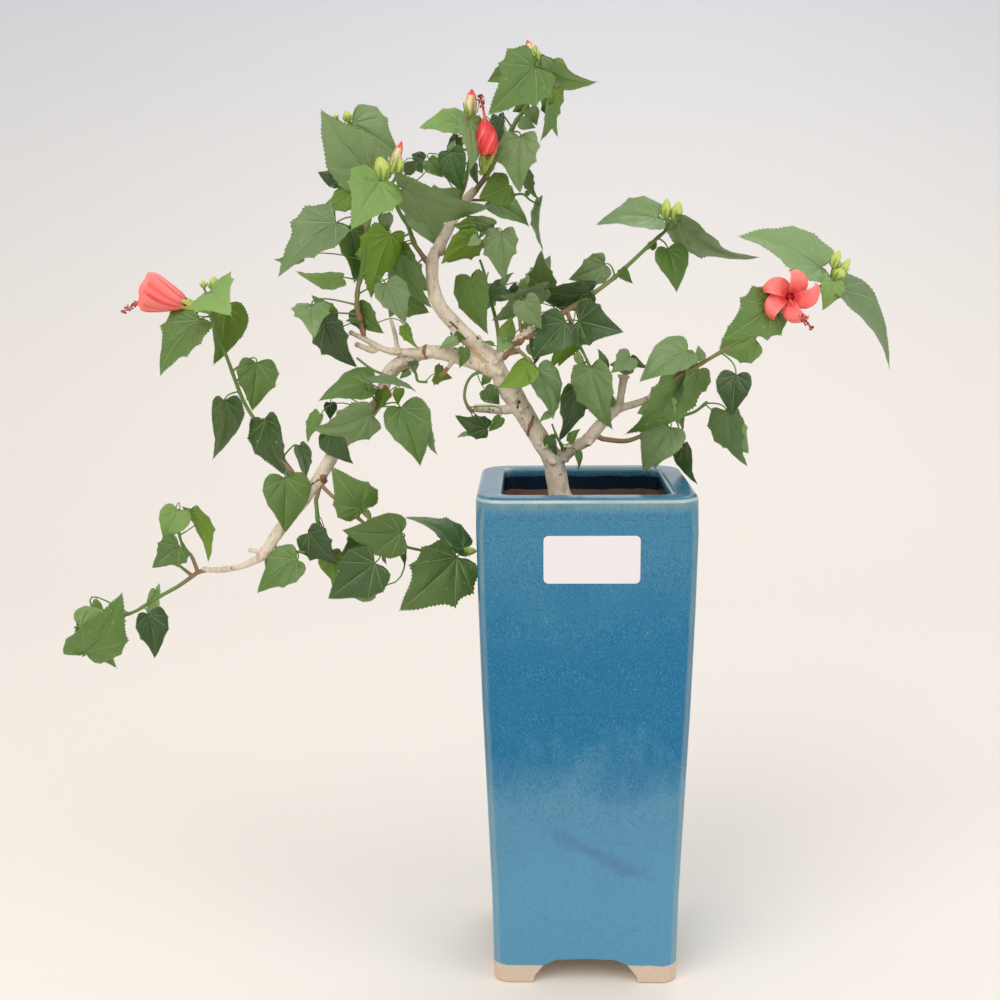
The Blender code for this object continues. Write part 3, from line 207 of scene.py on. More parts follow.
SHOOTS = {
    "far_left_shoot": {"stems": (
        (2.7, 1.6, (206, 570, -22), (200, 571, -22), (190, 578, -24), (177, 587, -27), (155, 599, -31),
         (136, 611, -35), (121, 616, -37)),
        (2.4, 1.3, (200, 571, -22), (192, 557, -24), (187, 551, -25), (181, 541, -27), (178, 528, -29)),
        (2.2, 1.2, (192, 575, -24), (185, 570, -24), (178, 564, -24), (177, 559, -24)),
    ), "leaves": (
        (85, 652, 124, 594, 52, "m", -6), (92, 609, 117, 669, 34, "y", 6),
        (148, 614, 155, 659, 31, "d", -5), (157, 590, 162, 630, 14, "u", 6),
        (179, 546, 152, 568, 34, "m", -5), (178, 510, 163, 541, 30, "b", -3),
        (191, 512, 211, 562, 20, "y", 3), (195, 513, 181, 506, 8, "m", 5),
    )},
    "hanging_twig": {"stems": (
        (2.7, 2, (320, 484, -15), (319, 490, -16), (316, 500, -18), (317, 512, -20), (318, 526, -22)),
    ), "leaves": (
        (309, 533, 342, 566, 33, "d", -4), (330, 552, 334, 588, 24, "y", 5),
    )},
    "low_twig": {"stems": (
        (2, 1.1, (272, 546, -20), (284, 551, -22), (305, 552, -26)),
    ), "leaves": (
        (297, 560, 256, 593, 38, "m", -3), (272, 552, 265, 570, 8, "d", 5),
    )},
    "left_flower_shoot": {"stems": (
        (2.6, 1.6, (306, 500, -16), (303, 493, -13), (293, 474, -8), (275, 448, -2), (262, 430, 2),
         (243, 400, 8), (226, 355, 13), (219, 340, 15), (215, 318, 16), (212, 293, 17)),
    ), "leaves": (
        (285, 478, 286, 534, 45, "m", -10), (266, 420, 290, 481, 32, "d", -7),
        (298, 447, 304, 488, 14, "m", 6), (224, 401, 214, 461, 28, "m", -3),
        (257, 363, 253, 412, 40, "m", -7), (211, 292, 230, 314, 55, "b", -9),
        (200, 320, 157, 376, 43, "m", -5), (225, 305, 215, 366, 36, "y", 6),
    ), "buds": (
        (204, 288, 203, 280, 6), (212, 290, 215, 276, 9), (213, 313, 184, 303, 13),
    ), "furled": (
        (184, 303, 146, 291, 14, 40), (146, 294, 124, 311, 4, 4),
    )},
    "pot_side_shoot": {"stems": (
        (2.4, 1.2, (322, 486, -16), (328, 492, -18), (340, 503, -22), (353, 514, -25), (369, 527, -28),
         (385, 540, -27), (400, 545, -25), (415, 549, -22), (435, 552, -18), (455, 552, -14),
         (468, 551, -12)),
    ), "leaves": (
        (361, 508, 332, 467, 46, "m", -5), (362, 510, 372, 523, 8, "u", 4),
        (368, 536, 340, 556, 28, "d", 4), (375, 563, 327, 600, 52, "d", -6),
        (401, 533, 341, 531, 43, "m", -8), (463, 548, 405, 515, 24, "m", 3),
        (457, 557, 399, 613, 65, "m", -6), (402, 555, 405, 566, 6, "m", 3),
        (384, 557, 387, 565, 4, "g", 3),
    ), "buds": (
        (463, 551, 477, 551, 8),
    )},
    "left_inner_leaves": {"stems": (
        (2.2, 1.4, (381, 396, -13), (378, 405, -20), (374, 414, -24)),
    ), "leaves": (
        (371, 385, 317, 400, 30, "m", -4), (370, 414, 311, 431, 37, "g", -8),
        (371, 382, 418, 391, 10, "g", -8), (383, 390, 382, 408, 16, "y", -3),
        (400, 389, 398, 406, 12, "y", -2), (401, 408, 421, 467, 44, "m", -5),
        (429, 428, 437, 456, 12, "g", 0), (330, 432, 353, 465, 26, "d", 4),
        (320, 415, 307, 443, 14, "m", 2), (330, 403, 330, 420, 14, "d", 5),
    )},
    "upper_left_shoot": {"stems": (
        (2.7, 2, (364, 336, -14), (360, 320, -17), (357, 305, -19), (358, 288, -20), (361, 275, -21),
         (364, 250, -23), (367, 232, -24), (369, 222, -25), (375, 200, -26), (381, 184, -27)),
        (1.9, 1.4, (367, 232, -24), (362, 190, -16), (356, 155, -13), (350, 124, -12)),
    ), "leaves": (
        (372, 173, 319, 109, 56, "g", -5), (352, 123, 401, 160, 48, "g", 6),
        (379, 181, 352, 228, 57, "b", -9), (352, 190, 319, 211, 26, "y", 4),
        (340, 180, 317, 172, 18, "d", 6), (385, 214, 388, 233, 16, "g", 6),
        (336, 223, 275, 276, 44, "g", -5), (300, 255, 273, 260, 12, "b", 5),
        (341, 277, 295, 273, 18, "b", -3), (390, 234, 369, 299, 45, "y", 5),
        (350, 228, 356, 284, 36, "m", 9), (386, 284, 406, 325, 34, "g", -7),
        (358, 308, 384, 334, 26, "m", 5), (362, 320, 345, 321, 10, "m", 3),
        (311, 306, 314, 337, 38, "g", -3), (330, 322, 312, 294, 20, "y", 3),
        (325, 322, 357, 369, 36, "d", -6), (405, 326, 418, 349, 12, "y", 2),
    ), "buds": (
        (349, 122, 346, 110, 9), (337, 119, 334, 114, 5), (383, 182, 382, 152, 16),
        (391, 174, 402, 141, 10), (398, 175, 401, 156, 9),
    )},
    "upper_left_back_shoot": {"stems": (
        (2.8, 1.8, (430, 267, -2), (420, 252, 0), (414, 243, 2), (408, 226, 6), (400, 213, 9),
         (394, 200, 12), (388, 188, 14)),
    ), "leaves": (
        (403, 187, 492, 211, 40, "g", -22), (401, 251, 430, 310, 32, "m", -8),
        (397, 250, 390, 275, 14, "g", -2), (400, 300, 430, 313, 28, "m", 4),
        (415, 212, 447, 256, 32, "g", -9), (402, 206, 414, 216, 9, "m", 2),
        (404, 170, 420, 160, 14, "g", 3), (424, 160, 411, 154, 14, "d", 5),
        (416, 162, 423, 174, 12, "g", 4),
    )},
    "leader_small_leaves": {"stems": (
        (1.8, 1.2, (464, 334, -6), (461, 339, -10), (459, 342, -12)),
    ), "leaves": (
        (457, 341, 438, 349, 12, "g", -3), (463, 348, 460, 369, 13, "m", -4),
        (456, 333, 467, 340, 8, "m", -3),
    )},
    "under_bough_twig": {"stems": (
        (2, 1.2, (417, 354, -11), (412, 365, -12), (416, 374, -13), (418, 381, -13), (427, 382, -13)),
        (1.8, 1.3, (412, 365, -12), (400, 371, -15), (393, 377, -18), (380, 373, -20), (370, 368, -20),
         (357, 358, -20)),
    ), "leaves": (
        (436, 374, 452, 378, 22, "y", 6), (413, 362, 415, 374, 12, "d", -3),
        (410, 372, 399, 379, 8, "m", -2),
    )},
    "crown_top": {"stems": (
        (3.3, 1.7, (474, 193, 0), (478, 187, 0), (485, 178, -1), (492, 166, -2), (505, 142, -4),
         (517, 120, -6), (527, 106, -7), (532, 90, -8), (538, 62, -10)),
    ), "leaves": (
        (535, 67, 488, 115, 60, "m", -8), (505, 70, 487, 82, 16, "b", 5), (538, 63, 598, 84, 26, "b", -2),
        (549, 66, 541, 53, 12, "g", 3), (552, 66, 569, 71, 20, "b", 5), (556, 90, 556, 138, 22, "y", 3),
        (549, 105, 541, 142, 14, "m", -3), (530, 108, 537, 126, 16, "g", 0),
        (520, 122, 536, 128, 14, "g", -4), (526, 106, 512, 112, 12, "y", 4),
        (521, 137, 519, 194, 42, "g", -7), (528, 173, 538, 200, 13, "g", 4),
        (499, 117, 500, 157, 18, "d", 5), (503, 158, 507, 169, 7, "m", 2),
        (513, 162, 510, 178, 5, "m", 2),
    ), "buds": (
        (534, 57, 527, 40, 9), (539, 61, 537, 45, 4), (483, 174, 488, 152, 16),
    ), "furled": (
        (488, 154, 484, 117, 17, 20), (484, 119, 480, 97, 4, 4),
    )},
    "middle_bud_shoot": {"stems": (
        (2.4, 1.5, (460, 207, -1), (460, 198, -6), (465, 185, -12), (468, 170, -14), (470, 155, -15),
         (469, 135, -15), (469, 122, -15)),
    ), "leaves": (
        (463, 124, 418, 127, 25, "b", 2), (457, 137, 441, 164, 16, "m", 4),
        (468, 120, 471, 173, 28, "g", -2), (452, 152, 464, 193, 28, "d", -6),
        (452, 152, 455, 139, 10, "g", -6), (429, 160, 443, 178, 18, "m", 5),
        (475, 165, 478, 186, 10, "m", 5),
    ), "buds": (
        (470, 118, 472, 89, 13),
    )},
    "leader_right_shoot": {"stems": (
        (2, 1.3, (439, 255, -2), (443, 254, -6), (450, 251, -8), (466, 246, -12), (478, 238, -13),
         (487, 231, -14)),
    ), "leaves": (
        (502, 232, 504, 281, 36, "g", -4), (493, 225, 463, 214, 16, "g", -2),
        (474, 222, 452, 226, 14, "m", -5), (465, 230, 455, 247, 12, "y", 2),
        (478, 238, 467, 246, 12, "g", -6), (478, 240, 440, 264, 26, "y", -3),
    )},
    "leader_side_twig": {"stems": (
        (1.8, 0.9, (464, 201, 1), (473, 200, 3), (490, 200, 5), (505, 197, 6), (522, 194, 5),
         (530, 200, 4), (540, 205, 3)),
    ), "leaves": (
        (509, 186, 478, 198, 34, "y", -2), (492, 202, 530, 227, 26, "b", 4),
        (541, 201, 542, 252, 10, "g", 0), (526, 194, 532, 190, 6, "m", 0),
    )},
    "leader_low_shoot": {"stems": (
        (2.6, 1.4, (497, 357, 0), (499, 345, 6), (497, 325, 8), (492, 305, 10), (487, 288, 11),
         (484, 272, 12), (480, 260, 12)),
    ), "leaves": (
        (472, 277, 488, 335, 36, "m", -6), (505, 288, 483, 301, 22, "d", -9),
        (503, 284, 514, 272, 8, "g", -9), (516, 285, 505, 294, 8, "d", 0),
    )},
    "fork_front_shoot": {"stems": (
        (3, 1.6, (504, 358, -9), (508, 353, -15), (513, 351, -18), (519, 351, -20), (527, 358, -22),
         (533, 364, -24)),
    ), "leaves": (
        (530, 365, 497, 388, 26, "y", -3), (537, 369, 555, 420, 31, "g", -2),
        (552, 414, 538, 423, 8, "g", 3), (506, 340, 497, 353, 18, "g", -4),
        (511, 340, 507, 333, 8, "m", -5), (493, 345, 481, 342, 5, "m", 0),
    )},
    "fork_up_twig": {"stems": (
        (2.2, 1.2, (522, 334, -8), (520, 322, -9), (518, 310, -9), (518, 300, -9)),
    ), "leaves": (
        (545, 288, 498, 298, 18, "g", -3), (524, 300, 542, 330, 28, "g", -5),
        (515, 303, 492, 322, 16, "g", 3), (505, 337, 512, 316, 18, "y", 2),
        (527, 328, 526, 315, 10, "m", 0),
    )},
    "mid_right_shoot": {"stems": (
        (3, 1.8, (541, 329, -8), (545, 326, -8), (558, 316, -4), (575, 305, 2), (598, 290, 8),
         (615, 277, 13), (625, 268, 16), (640, 254, 20), (655, 240, 24), (665, 231, 27), (669, 223, 28)),
        (1.9, 1.4, (567, 310, -1), (574, 330, -6), (579, 344, -10), (585, 356, -12), (590, 367, -13)),
    ), "leaves": (
        (658, 218, 595, 222, 32, "g", -4), (680, 222, 758, 262, 26, "g", -4),
        (672, 222, 664, 232, 14, "m", -4), (668, 249, 677, 293, 32, "m", 3),
        (650, 248, 657, 240, 10, "m", 4), (622, 269, 633, 284, 12, "m", -3),
        (604, 264, 568, 280, 30, "g", -5), (590, 290, 528, 292, 30, "d", -9),
        (579, 321, 623, 332, 46, "d", -14), (565, 322, 531, 360, 42, "d", -8),
        (575, 340, 550, 369, 24, "y", 5), (535, 340, 535, 366, 14, "d", 6),
        (546, 290, 541, 249, 26, "m", 3), (592, 367, 612, 431, 40, "g", -3),
        (577, 353, 587, 368, 10, "u", 4), (573, 389, 559, 443, 29, "d", 4),
        (603, 371, 598, 348, 12, "m", 3),
    ), "buds": (
        (666, 219, 667, 198, 10), (675, 222, 679, 201, 12),
    )},
    "right_stub_shoot": {"stems": (
        (1.8, 1.2, (624, 377, -2), (628, 364, -3), (631, 358, -4)),
    ), "leaves": (
        (630, 357, 611, 373, 24, "g", -5), (632, 357, 650, 369, 10, "g", 0),
    )},
    "right_flower_shoot": {"stems": (
        (2.4, 1.6, (654, 395, -8), (660, 391, -8), (677, 377, -10), (697, 366, -12), (726, 349, -15),
         (750, 335, -17), (762, 328, -18), (790, 303, -20), (812, 292, -21), (833, 278, -22)),
    ), "leaves": (
        (687, 351, 638, 381, 38, "g", -5), (700, 360, 698, 345, 12, "g", -4),
        (685, 375, 626, 437, 44, "m", 8), (698, 369, 682, 406, 26, "m", 5),
        (671, 399, 675, 416, 7, "u", -3), (755, 338, 716, 350, 44, "b", 6),
        (772, 307, 722, 340, 54, "m", -8), (736, 375, 731, 417, 34, "d", -4),
        (821, 268, 738, 234, 44, "g", 6), (833, 281, 823, 311, 24, "b", -4),
        (838, 288, 895, 369, 18, "g", 0),
    ), "buds": (
        (833, 268, 839, 250, 10), (840, 275, 850, 258, 8), (834, 280, 845, 267, 13),
    ), "open": (
        (790, 297, 26), (790, 300, 811, 327, 4, 4),
    )},
    "right_side_twig": {"stems": (
        (3, 1.6, (596, 436, -2), (604, 439, 0), (625, 441, 5), (641, 436, 10), (658, 428, 14),
         (673, 419, 17), (685, 415, 19), (696, 411, 20), (707, 402, 22)),
    ), "leaves": (
        (670, 428, 642, 473, 42, "g", -9), (684, 445, 696, 486, 16, "m", 3),
        (727, 411, 746, 468, 32, "g", -3), (676, 412, 683, 432, 10, "m", 4),
    )},
    "stub_left_shoot": {"stems": (
        (2, 1.4, (478, 408, -7), (469, 411, -7), (465, 400, -9), (465, 390, -10), (468, 381, -11),
         (473, 375, -12), (479, 372, -12)),
    ), "leaves": (
        (485, 389, 500, 405, 20, "m", 3), (488, 376, 481, 386, 10, "m", 3),
        (487, 428, 454, 416, 24, "d", -5), (500, 417, 488, 432, 12, "m", -3),
        (467, 434, 457, 438, 5, "g", 2),
    )},
    "right_bough_foot_leaves": {"stems": (
        (2.2, 1, (564, 452, -2), (561, 444, -9), (557, 437, -11), (552, 424, -11)),
    ), "leaves": (
        (550, 436, 557, 457, 14, "d", 0), (570, 442, 580, 428, 10, "m", -2),
        (577, 452, 578, 471, 7, "m", 4),
    )},
}


def sheet_axes():
    """Right, up and forward of the eye, as unit vectors."""
    right = Vector((math.cos(EYE_YAW), -math.sin(EYE_YAW), 0.0))
    ahead = Vector((math.sin(EYE_YAW), math.cos(EYE_YAW), 0.0))
    z = Vector((0.0, 0.0, 1.0))
    forward = ahead * math.cos(EYE_DIP) - z * math.sin(EYE_DIP)
    up = ahead * math.sin(EYE_DIP) + z * math.cos(EYE_DIP)
    rolled_right = right * math.cos(EYE_ROLL) + up * math.sin(EYE_ROLL)
    rolled_up = up * math.cos(EYE_ROLL) - right * math.sin(EYE_ROLL)
    return rolled_right, rolled_up, forward


RIGHT, UP, FORWARD = sheet_axes()


def at(u, v, depth):
    """The place on the drawing's square (u, v), depth millimetres behind the pot's middle."""
    ray = FORWARD + RIGHT * ((u - SHEET_MIDDLE) / SQUARES) + UP * ((SHEET_MIDDLE - v) / SQUARES)
    return EYE + ray * ((depth * MM + SHIFT.y - EYE.y) / ray.y)


def squares_ray(u, v):
    """The way from the eye through a square of the drawing."""
    return (at(u, v, 0.0) - EYE).normalized()


def square_size(place):
    """Metres that one square of the drawing covers at a place."""
    return (place - EYE).dot(FORWARD) / SQUARES


def stem_stops(row):
    """A stem's row of the table as stops that thin evenly."""
    first, last, *places = row
    steps = len(places) - 1
    return [(u, v, d, first + (last - first) * i / steps) for i, (u, v, d) in enumerate(places)]


def route_of(stops):
    """World places and radii of a row of stops."""
    return [(at(u, v, depth), width * MM / 2) for u, v, depth, width in stops]


def directions(route):
    """Unit direction of a route at each of its places."""
    last = len(route) - 1
    ends = [(route[min(i + 1, last)][0], route[max(i - 1, 0)][0]) for i in range(len(route))]
    return [(ahead - behind).normalized() for ahead, behind in ends]


def axes_along(way):
    """A way and two more square to it and to each other, all one long."""
    side = way.orthogonal().normalized()
    return way, side, way.cross(side)


def axes_between(foot, tip):
    """Axes along the line from foot to tip, and its length."""
    return *axes_along((tip - foot).normalized()), (tip - foot).length


def fan(side, across, turn):
    """The way out at a turn round an axis that side and across stand square to."""
    return side * math.cos(turn) + across * math.sin(turn)


def ring(place, direction, side, radius, count):
    """Places round a route's place, square to its direction."""
    across = direction.cross(side).normalized()
    turns = [TURN * k / count for k in range(count)]
    return [place + side * (radius * math.cos(t)) + across * (radius * math.sin(t)) for t in turns]


def loft(rings, seat_middle=None):
    """A closed bmesh through rings of equal count, capped at both ends."""
    bm = bmesh.new()
    rows = [[bm.verts.new(p) for p in places] for places in rings]
    count = len(rows[0])
    for lower, upper in zip(rows, rows[1:]):
        for k in range(count):
            n = (k + 1) % count
            bm.faces.new((lower[k], lower[n], upper[n], upper[k]))
    if seat_middle is None:
        bm.faces.new(rows[0])
    else:
        middle = bm.verts.new(seat_middle)
        for k in range(count):
            bm.faces.new((middle, rows[0][k], rows[0][(k + 1) % count]))
    bm.faces.new(rows[-1])
    bmesh.ops.recalc_face_normals(bm, faces=bm.faces[:])
    return bm


def tube_rings(route, count, end_share=0.7, first=None):
    """Rings of a tube along a route, its end slightly rounded."""
    ways = directions(route)
    if first is not None:
        ways[0] = first
    side = ways[0].orthogonal().normalized()
    rings = []
    for (place, radius), way in zip(route, ways):
        side = (side - way * side.dot(way)).normalized()
        rings.append(ring(place, way, side, radius, count))
    if end_share:
        place, radius = route[-1]
        end = place + ways[-1] * (radius * 0.35)
        rings.append(ring(end, ways[-1], side, radius * end_share, count))
    return rings


def tube(route, count):
    """A closed tube with flat ends."""
    return loft(tube_rings(route, count, 0.0))


def tree_of(bm):
    """A search tree of a bmesh's faces."""
    bm.verts.index_update()
    places = [v.co.copy() for v in bm.verts]
    faces = [[v.index for v in f.verts] for f in bm.faces]
    return BVHTree.FromPolygons(places, faces)


def clearance(place, trees):
    """Distance from a place to the nearest of several bodies."""
    nearest = 1.0
    for tree in trees:
        hit = tree.find_nearest(place)
        if hit[3] is not None:
            nearest = min(nearest, hit[3])
    return nearest


def finer_route(route, parts):
    """A route with extra places between its own."""
    result = []
    for (a, ra), (b, rb) in zip(route, route[1:]):
        for k in range(parts):
            t = k / parts
            result.append((a.lerp(b, t), ra + (rb - ra) * t))
    result.append(route[-1])
    return result


def trim_start(route, trees):
    """Drop a route's start up to where it stands clear of other bodies."""
    parts = 10
    finer = finer_route(route, parts)
    start = 0
    for index, (place, radius) in enumerate(finer[:len(finer) * 7 // 10]):
        if clearance(place, trees) < radius * 1.05 + GAP * MM:
            start = index + 1
    kept = [finer[start]]
    for index, stop in enumerate(route):
        if index * parts > start + 3:
            kept.append(stop)
    return kept


def slide_back(place, way, trees, far):
    """Move a place back along a tube until it nears another body's skin."""
    moved = place.copy()
    step = SLIDE_STEP * MM
    for _ in range(int(far / step)):
        ahead = moved - way * step
        if clearance(ahead, trees) < SEAT_GAP * MM:
            return moved
        moved = ahead
    return moved


def seat(rings, route, trees):
    """Fit a tube's first ring to the skin it grows from; returns the cap's middle."""
    place, radius = route[0]
    way = directions(route)[0]
    far = radius * 1.2
    rings[0] = [slide_back(p, way, trees, far) for p in rings[0]]
    return slide_back(place, way, trees, far)


def rounded_square(half, corner, z, steps=3):
    """A square section with rounded corners."""
    places = []
    for quarter in range(4):
        middle_turn = math.pi / 4 + quarter * math.pi / 2
        reach = (half - corner) * math.sqrt(2)
        for step in range(steps + 1):
            turn = quarter * math.pi / 2 + step * math.pi / 2 / steps
            x = reach * math.cos(middle_turn) + corner * math.cos(turn)
            y = reach * math.sin(middle_turn) + corner * math.sin(turn)
            places.append(Vector((x, y, z)) * MM + SHIFT)
    return places


def pot_half(z):
    """Half width of the pot's outside at a height; its sides bow out a little."""
    share = z / POT_HEIGHT
    for (low, narrow), (high, wide) in zip(POT_SIDES, POT_SIDES[1:]):
        if share <= high:
            break
    return (narrow + (wide - narrow) * (share - low) / (high - low)) / 2


def cavity_half(z):
    """Half width of the pot's inside at a height."""
    top = POT_TOP / 2 - RIM_WALL
    floor = CAVITY_FLOOR_WIDTH / 2
    share = (z - CAVITY_FLOOR) / (POT_HEIGHT - CAVITY_FLOOR)
    return floor + (top - floor) * share


def pot_rings(steps=3):
    """Sections of the pot from its foot over the rim to the cavity's floor."""
    rings = [rounded_square(pot_half(0) - 0.6, BODY_CORNER, 0.0, steps)]
    for share in (0.004, 0.18, 0.38, 0.58, 0.78, 0.93):
        z = POT_HEIGHT * share
        rings.append(rounded_square(pot_half(z), BODY_CORNER, z, steps))
    rim = [(POT_TOP / 2, RIM_CORNER, -RIM_ROUND, step) for step in range(4)]
    rim += [(POT_TOP / 2 - RIM_WALL, CAVITY_CORNER, RIM_ROUND, step) for step in range(4, -1, -1)]
    for half, corner, rounding, step in rim:
        turn = step * math.pi / 8
        pull = rounding * (1 - math.cos(turn))
        z = POT_HEIGHT - RIM_ROUND + RIM_ROUND * math.sin(turn)
        rings.append(rounded_square(half + pull, corner + pull, z, steps))
    for z in (POT_HEIGHT - SOIL_BELOW_RIM, CAVITY_FLOOR):
        rings.append(rounded_square(cavity_half(z), CAVITY_CORNER, z, steps))
    return rings


def vessel_trees():
    """Search trees of the pot and of its soil."""
    soil = []
    for z in (CAVITY_FLOOR + GAP, POT_HEIGHT - SOIL_BELOW_RIM):
        soil.append(rounded_square(cavity_half(z) - GAP, CAVITY_CORNER - GAP, z))
    return [tree_of(loft(pot_rings())), tree_of(loft(soil))]


def limb_trees():
    """Search trees of the trunk and of each bough seated on what it grows from."""
    route = route_of(TRUNK)
    foot = route[0][0].copy()
    foot.z = (POT_HEIGHT - SOIL_BELOW_RIM + GAP) * MM
    route[0] = (foot, route[0][1])
    rings = tube_rings(route, LIMB_SIDES, 0.75, Vector((0.0, 0.0, 1.0)))
    trees = [tree_of(loft(rings))]
    for stops in LIMBS.values():
        route = trim_start(route_of(stops), trees)
        rings = tube_rings(route, LIMB_SIDES, 0.8)
        middle = seat(rings, route, trees)
        trees.append(tree_of(loft(rings, middle)))
    return trees


def leaf_frame(leaf, depth, draw):
    """Foot, long axis, cross axis, upward normal, length and width of a leaf."""
    foot = at(leaf.foot_u, leaf.foot_v, depth)
    tip = at(leaf.tip_u, leaf.tip_v, depth)
    size = square_size(foot)
    seen_length = (tip - foot).length
    width = leaf.width * size
    view = ((foot + tip) / 2 - EYE).normalized()
    along = tip - foot
    roll = 0.0
    if width >= LEAF_RATIO * seen_length:
        length = min(width / LEAF_RATIO, seen_length * 1.8)
        dip = math.sqrt(max(length ** 2 - seen_length ** 2, 0.0))
        sign = -1.0 if leaf.lay < 0 else 1.0
        along = along + view * (dip * sign)
    else:
        width_real = LEAF_RATIO * seen_length
        roll = math.acos(max(width / width_real, 0.25)) * draw.choice((-1, 1))
        width = width_real
    length = along.length
    along = along.normalized()
    cross = along.cross(view).normalized()
    normal = cross.cross(along).normalized()
    turned = cross * math.cos(roll) + normal * math.sin(roll)
    normal = turned.cross(along).normalized()
    faces_eye = normal.dot(view) < 0
    if faces_eye == (leaf.side in UNDERSIDES):
        normal = -normal
    return LeafFrame(foot, along, turned, normal, length, width)


def meets_well(start, foot, along, normal):
    """Whether a stalk from this side can be drawn as one with its leaf."""
    run = (foot - start).normalized()
    onward = run.dot(along)
    return onward > 0.45 or (abs(run.dot(normal)) > 0.6 and onward > -0.5)


def leaf_solid(foot, along, cross, normal, length, width, start, thick):
    """A thin leaf, thickest at its midrib, with its three-sided stalk if it has one."""
    half = SMALL_HALF if length < SMALL_LEAF * MM else LARGE_HALF
    radius = STALK_WIDTH * MM / 2
    neck = min(radius * 2 / width, 0.5)
    outline = [(neck, 0.0)] + list(half) + [(0.0, 1.0)]
    outline += [(-a, b) for a, b in reversed(half)] + [(-neck, 0.0)]
    bm = bmesh.new()
    corners = []
    for a, b in outline + [(0.0, 0.42)]:
        rise = LEAF_BULGE * length * math.sin(math.pi * max(b, 0.0))
        rise += LEAF_FOLD * width * abs(a)
        corners.append(foot + cross * (a * width / 2) + along * (b * length) + normal * rise)
    middle = corners.pop()
    upper = bm.verts.new(middle + normal * (thick / 2))
    lower = bm.verts.new(middle - normal * (thick / 2))
    rim = [bm.verts.new(place) for place in corners]
    stalked = start is not None and meets_well(start, foot, along, normal)
    down = normal
    if stalked:
        run = (foot - start).normalized()
        if run.dot(along) < abs(run.dot(normal)):
            down = along if run.dot(normal) < 0 else -along
    keel = bm.verts.new(foot - down * (radius * 1.5))
    for first, second in zip(rim, rim[1:] + rim[:1]):
        bm.faces.new((first, second, upper))
    for first, second in zip(rim, rim[1:]):
        bm.faces.new((second, first, lower))
    bm.faces.new((rim[0], keel, lower))
    bm.faces.new((keel, rim[-1], lower))
    if not stalked:
        bm.faces.new((rim[-1], keel, rim[0]))
    else:
        flat = (cross - run * cross.dot(run)).normalized()
        drop = run.cross(flat) * (radius * 0.75)
        if drop.dot(down) < 0:
            drop = -drop
        flat *= radius * 0.5
        root = [bm.verts.new(p) for p in (start + flat, start - flat, start - drop)]
        hub = (rim[0], rim[-1], keel)
        for k in range(3):
            n = (k + 1) % 3
            bm.faces.new((hub[k], hub[n], root[n], root[k]))
        bm.faces.new(root)
    bmesh.ops.recalc_face_normals(bm, faces=bm.faces[:])
    return bm


def leaf_bodies(frame, start):
    """A leaf joined to its stem: one body, or two where the stalk turns back."""
    foot, along, _, normal, length, _ = frame
    bodies = [leaf_solid(*frame, start, LEAF_THICK * MM)]
    if not meets_well(start, foot, along, normal):
        inner = foot + along * (length * 0.38) + normal * (LEAF_BULGE * length * 0.88)
        radius = STALK_WIDTH * MM / 2
        bodies.append(tube([(start, radius * 0.6), (inner, radius)], STEM_SIDES))
    return bodies


def stalk(start, foot, tip, start_radius):
    """A bud's stalk from a stem's middle to a third of the bud."""
    radius = STALK_WIDTH * MM / 2
    return tube([(start, min(start_radius * 0.6, radius)), (foot.lerp(tip, 0.3), radius)], STEM_SIDES)


def spindle(foot, tip, width, share=0.45, blunt=0.0):
    """A five-sided bud: pointed at its tip, swollen below the middle."""
    way, side, _, length = axes_between(foot, tip)
    rings = []
    for t, swell in ((0.0, 0.45), (share, 1.0), (1.0, 0.15 + blunt)):
        rings.append(ring(foot + way * (t * length), way, side, width / 2 * swell, 5))
    return loft(rings)


def flare(foot, tip, first, last):
    """Furled petals: a body that widens towards its open end."""
    way, side, _, length = axes_between(foot, tip)
    rings = []
    for t, swell in ((-0.15, first * 0.5), (0.35, first * 1.05), (0.95, last), (1.0, last * 0.8)):
        rings.append(ring(foot + way * (t * length), way, side, swell / 2, 6))
    return loft(rings)


def petal_ring(centre, facing, reach):
    """Five broad petals that curl back from a throat."""
    bodies = []
    _, side, across = axes_along(facing)
    thick = 0.45 * MM
    for k in range(PETALS):
        out = fan(side, across, TURN * k / PETALS + 0.3)
        wide = facing.cross(out)
        rings = []
        for t, lift, half in ((0.0, -0.35, 0.20), (0.45, 0.10, 0.42), (0.85, 0.06, 0.46),
                              (1.0, -0.22, 0.30)):
            middle = centre + out * (reach * t) + facing * (reach * lift)
            corners = ((1, 1), (-1, 1), (-1, -1), (1, -1))
            rings.append([middle + wide * (half * reach * a) + facing * (thick * b) for a, b in corners])
        bodies.append(loft(rings))
    return bodies


def crowding(place, used):
    """Extra distance charged to a stem point that already bears a stalk."""
    if used and min((place - other).length for other in used) < STALK_APART * MM:
        return STALK_APART * MM * 2
    return 0.0


def nearest_stem(routes, u, v, used=None):
    """Depth, place and radius of the free stem point nearest to a square."""
    best = None
    ray = squares_ray(u, v)
    for route in routes:
        for place, radius in route:
            reach = place - EYE
            miss = (reach - ray * reach.dot(ray)).length
            miss += crowding(place, used)
            if best is None or miss < best[0]:
                best = (miss, place, radius)
    if used is not None:
        used.append(best[1])
    return (best[1].y - SHIFT.y) / MM, best[1], best[2]


def touches(bodies, others):
    """Whether any of some bodies cuts any of the others."""
    return any(body.overlap(other) for body in bodies for other in others)


def shoot_stems(shoot, trees):
    """Routes of a shoot's stems, the first trimmed clear of the wood."""
    routes = []
    for index, row in enumerate(shoot["stems"]):
        route = route_of(stem_stops(row))
        if index == 0:
            route = trim_start(route, trees)
        else:
            joint = route[0][0]
            main_stem = finer_route(routes[0], 6)
            route[0] = min(main_stem, key=lambda stop: (stop[0] - joint).length)
        routes.append(route)
    return routes


def fat_tube(route):
    """A stem with room round it."""
    return tree_of(tube([(place, radius + GAP * MM) for place, radius in route], STEM_SIDES))


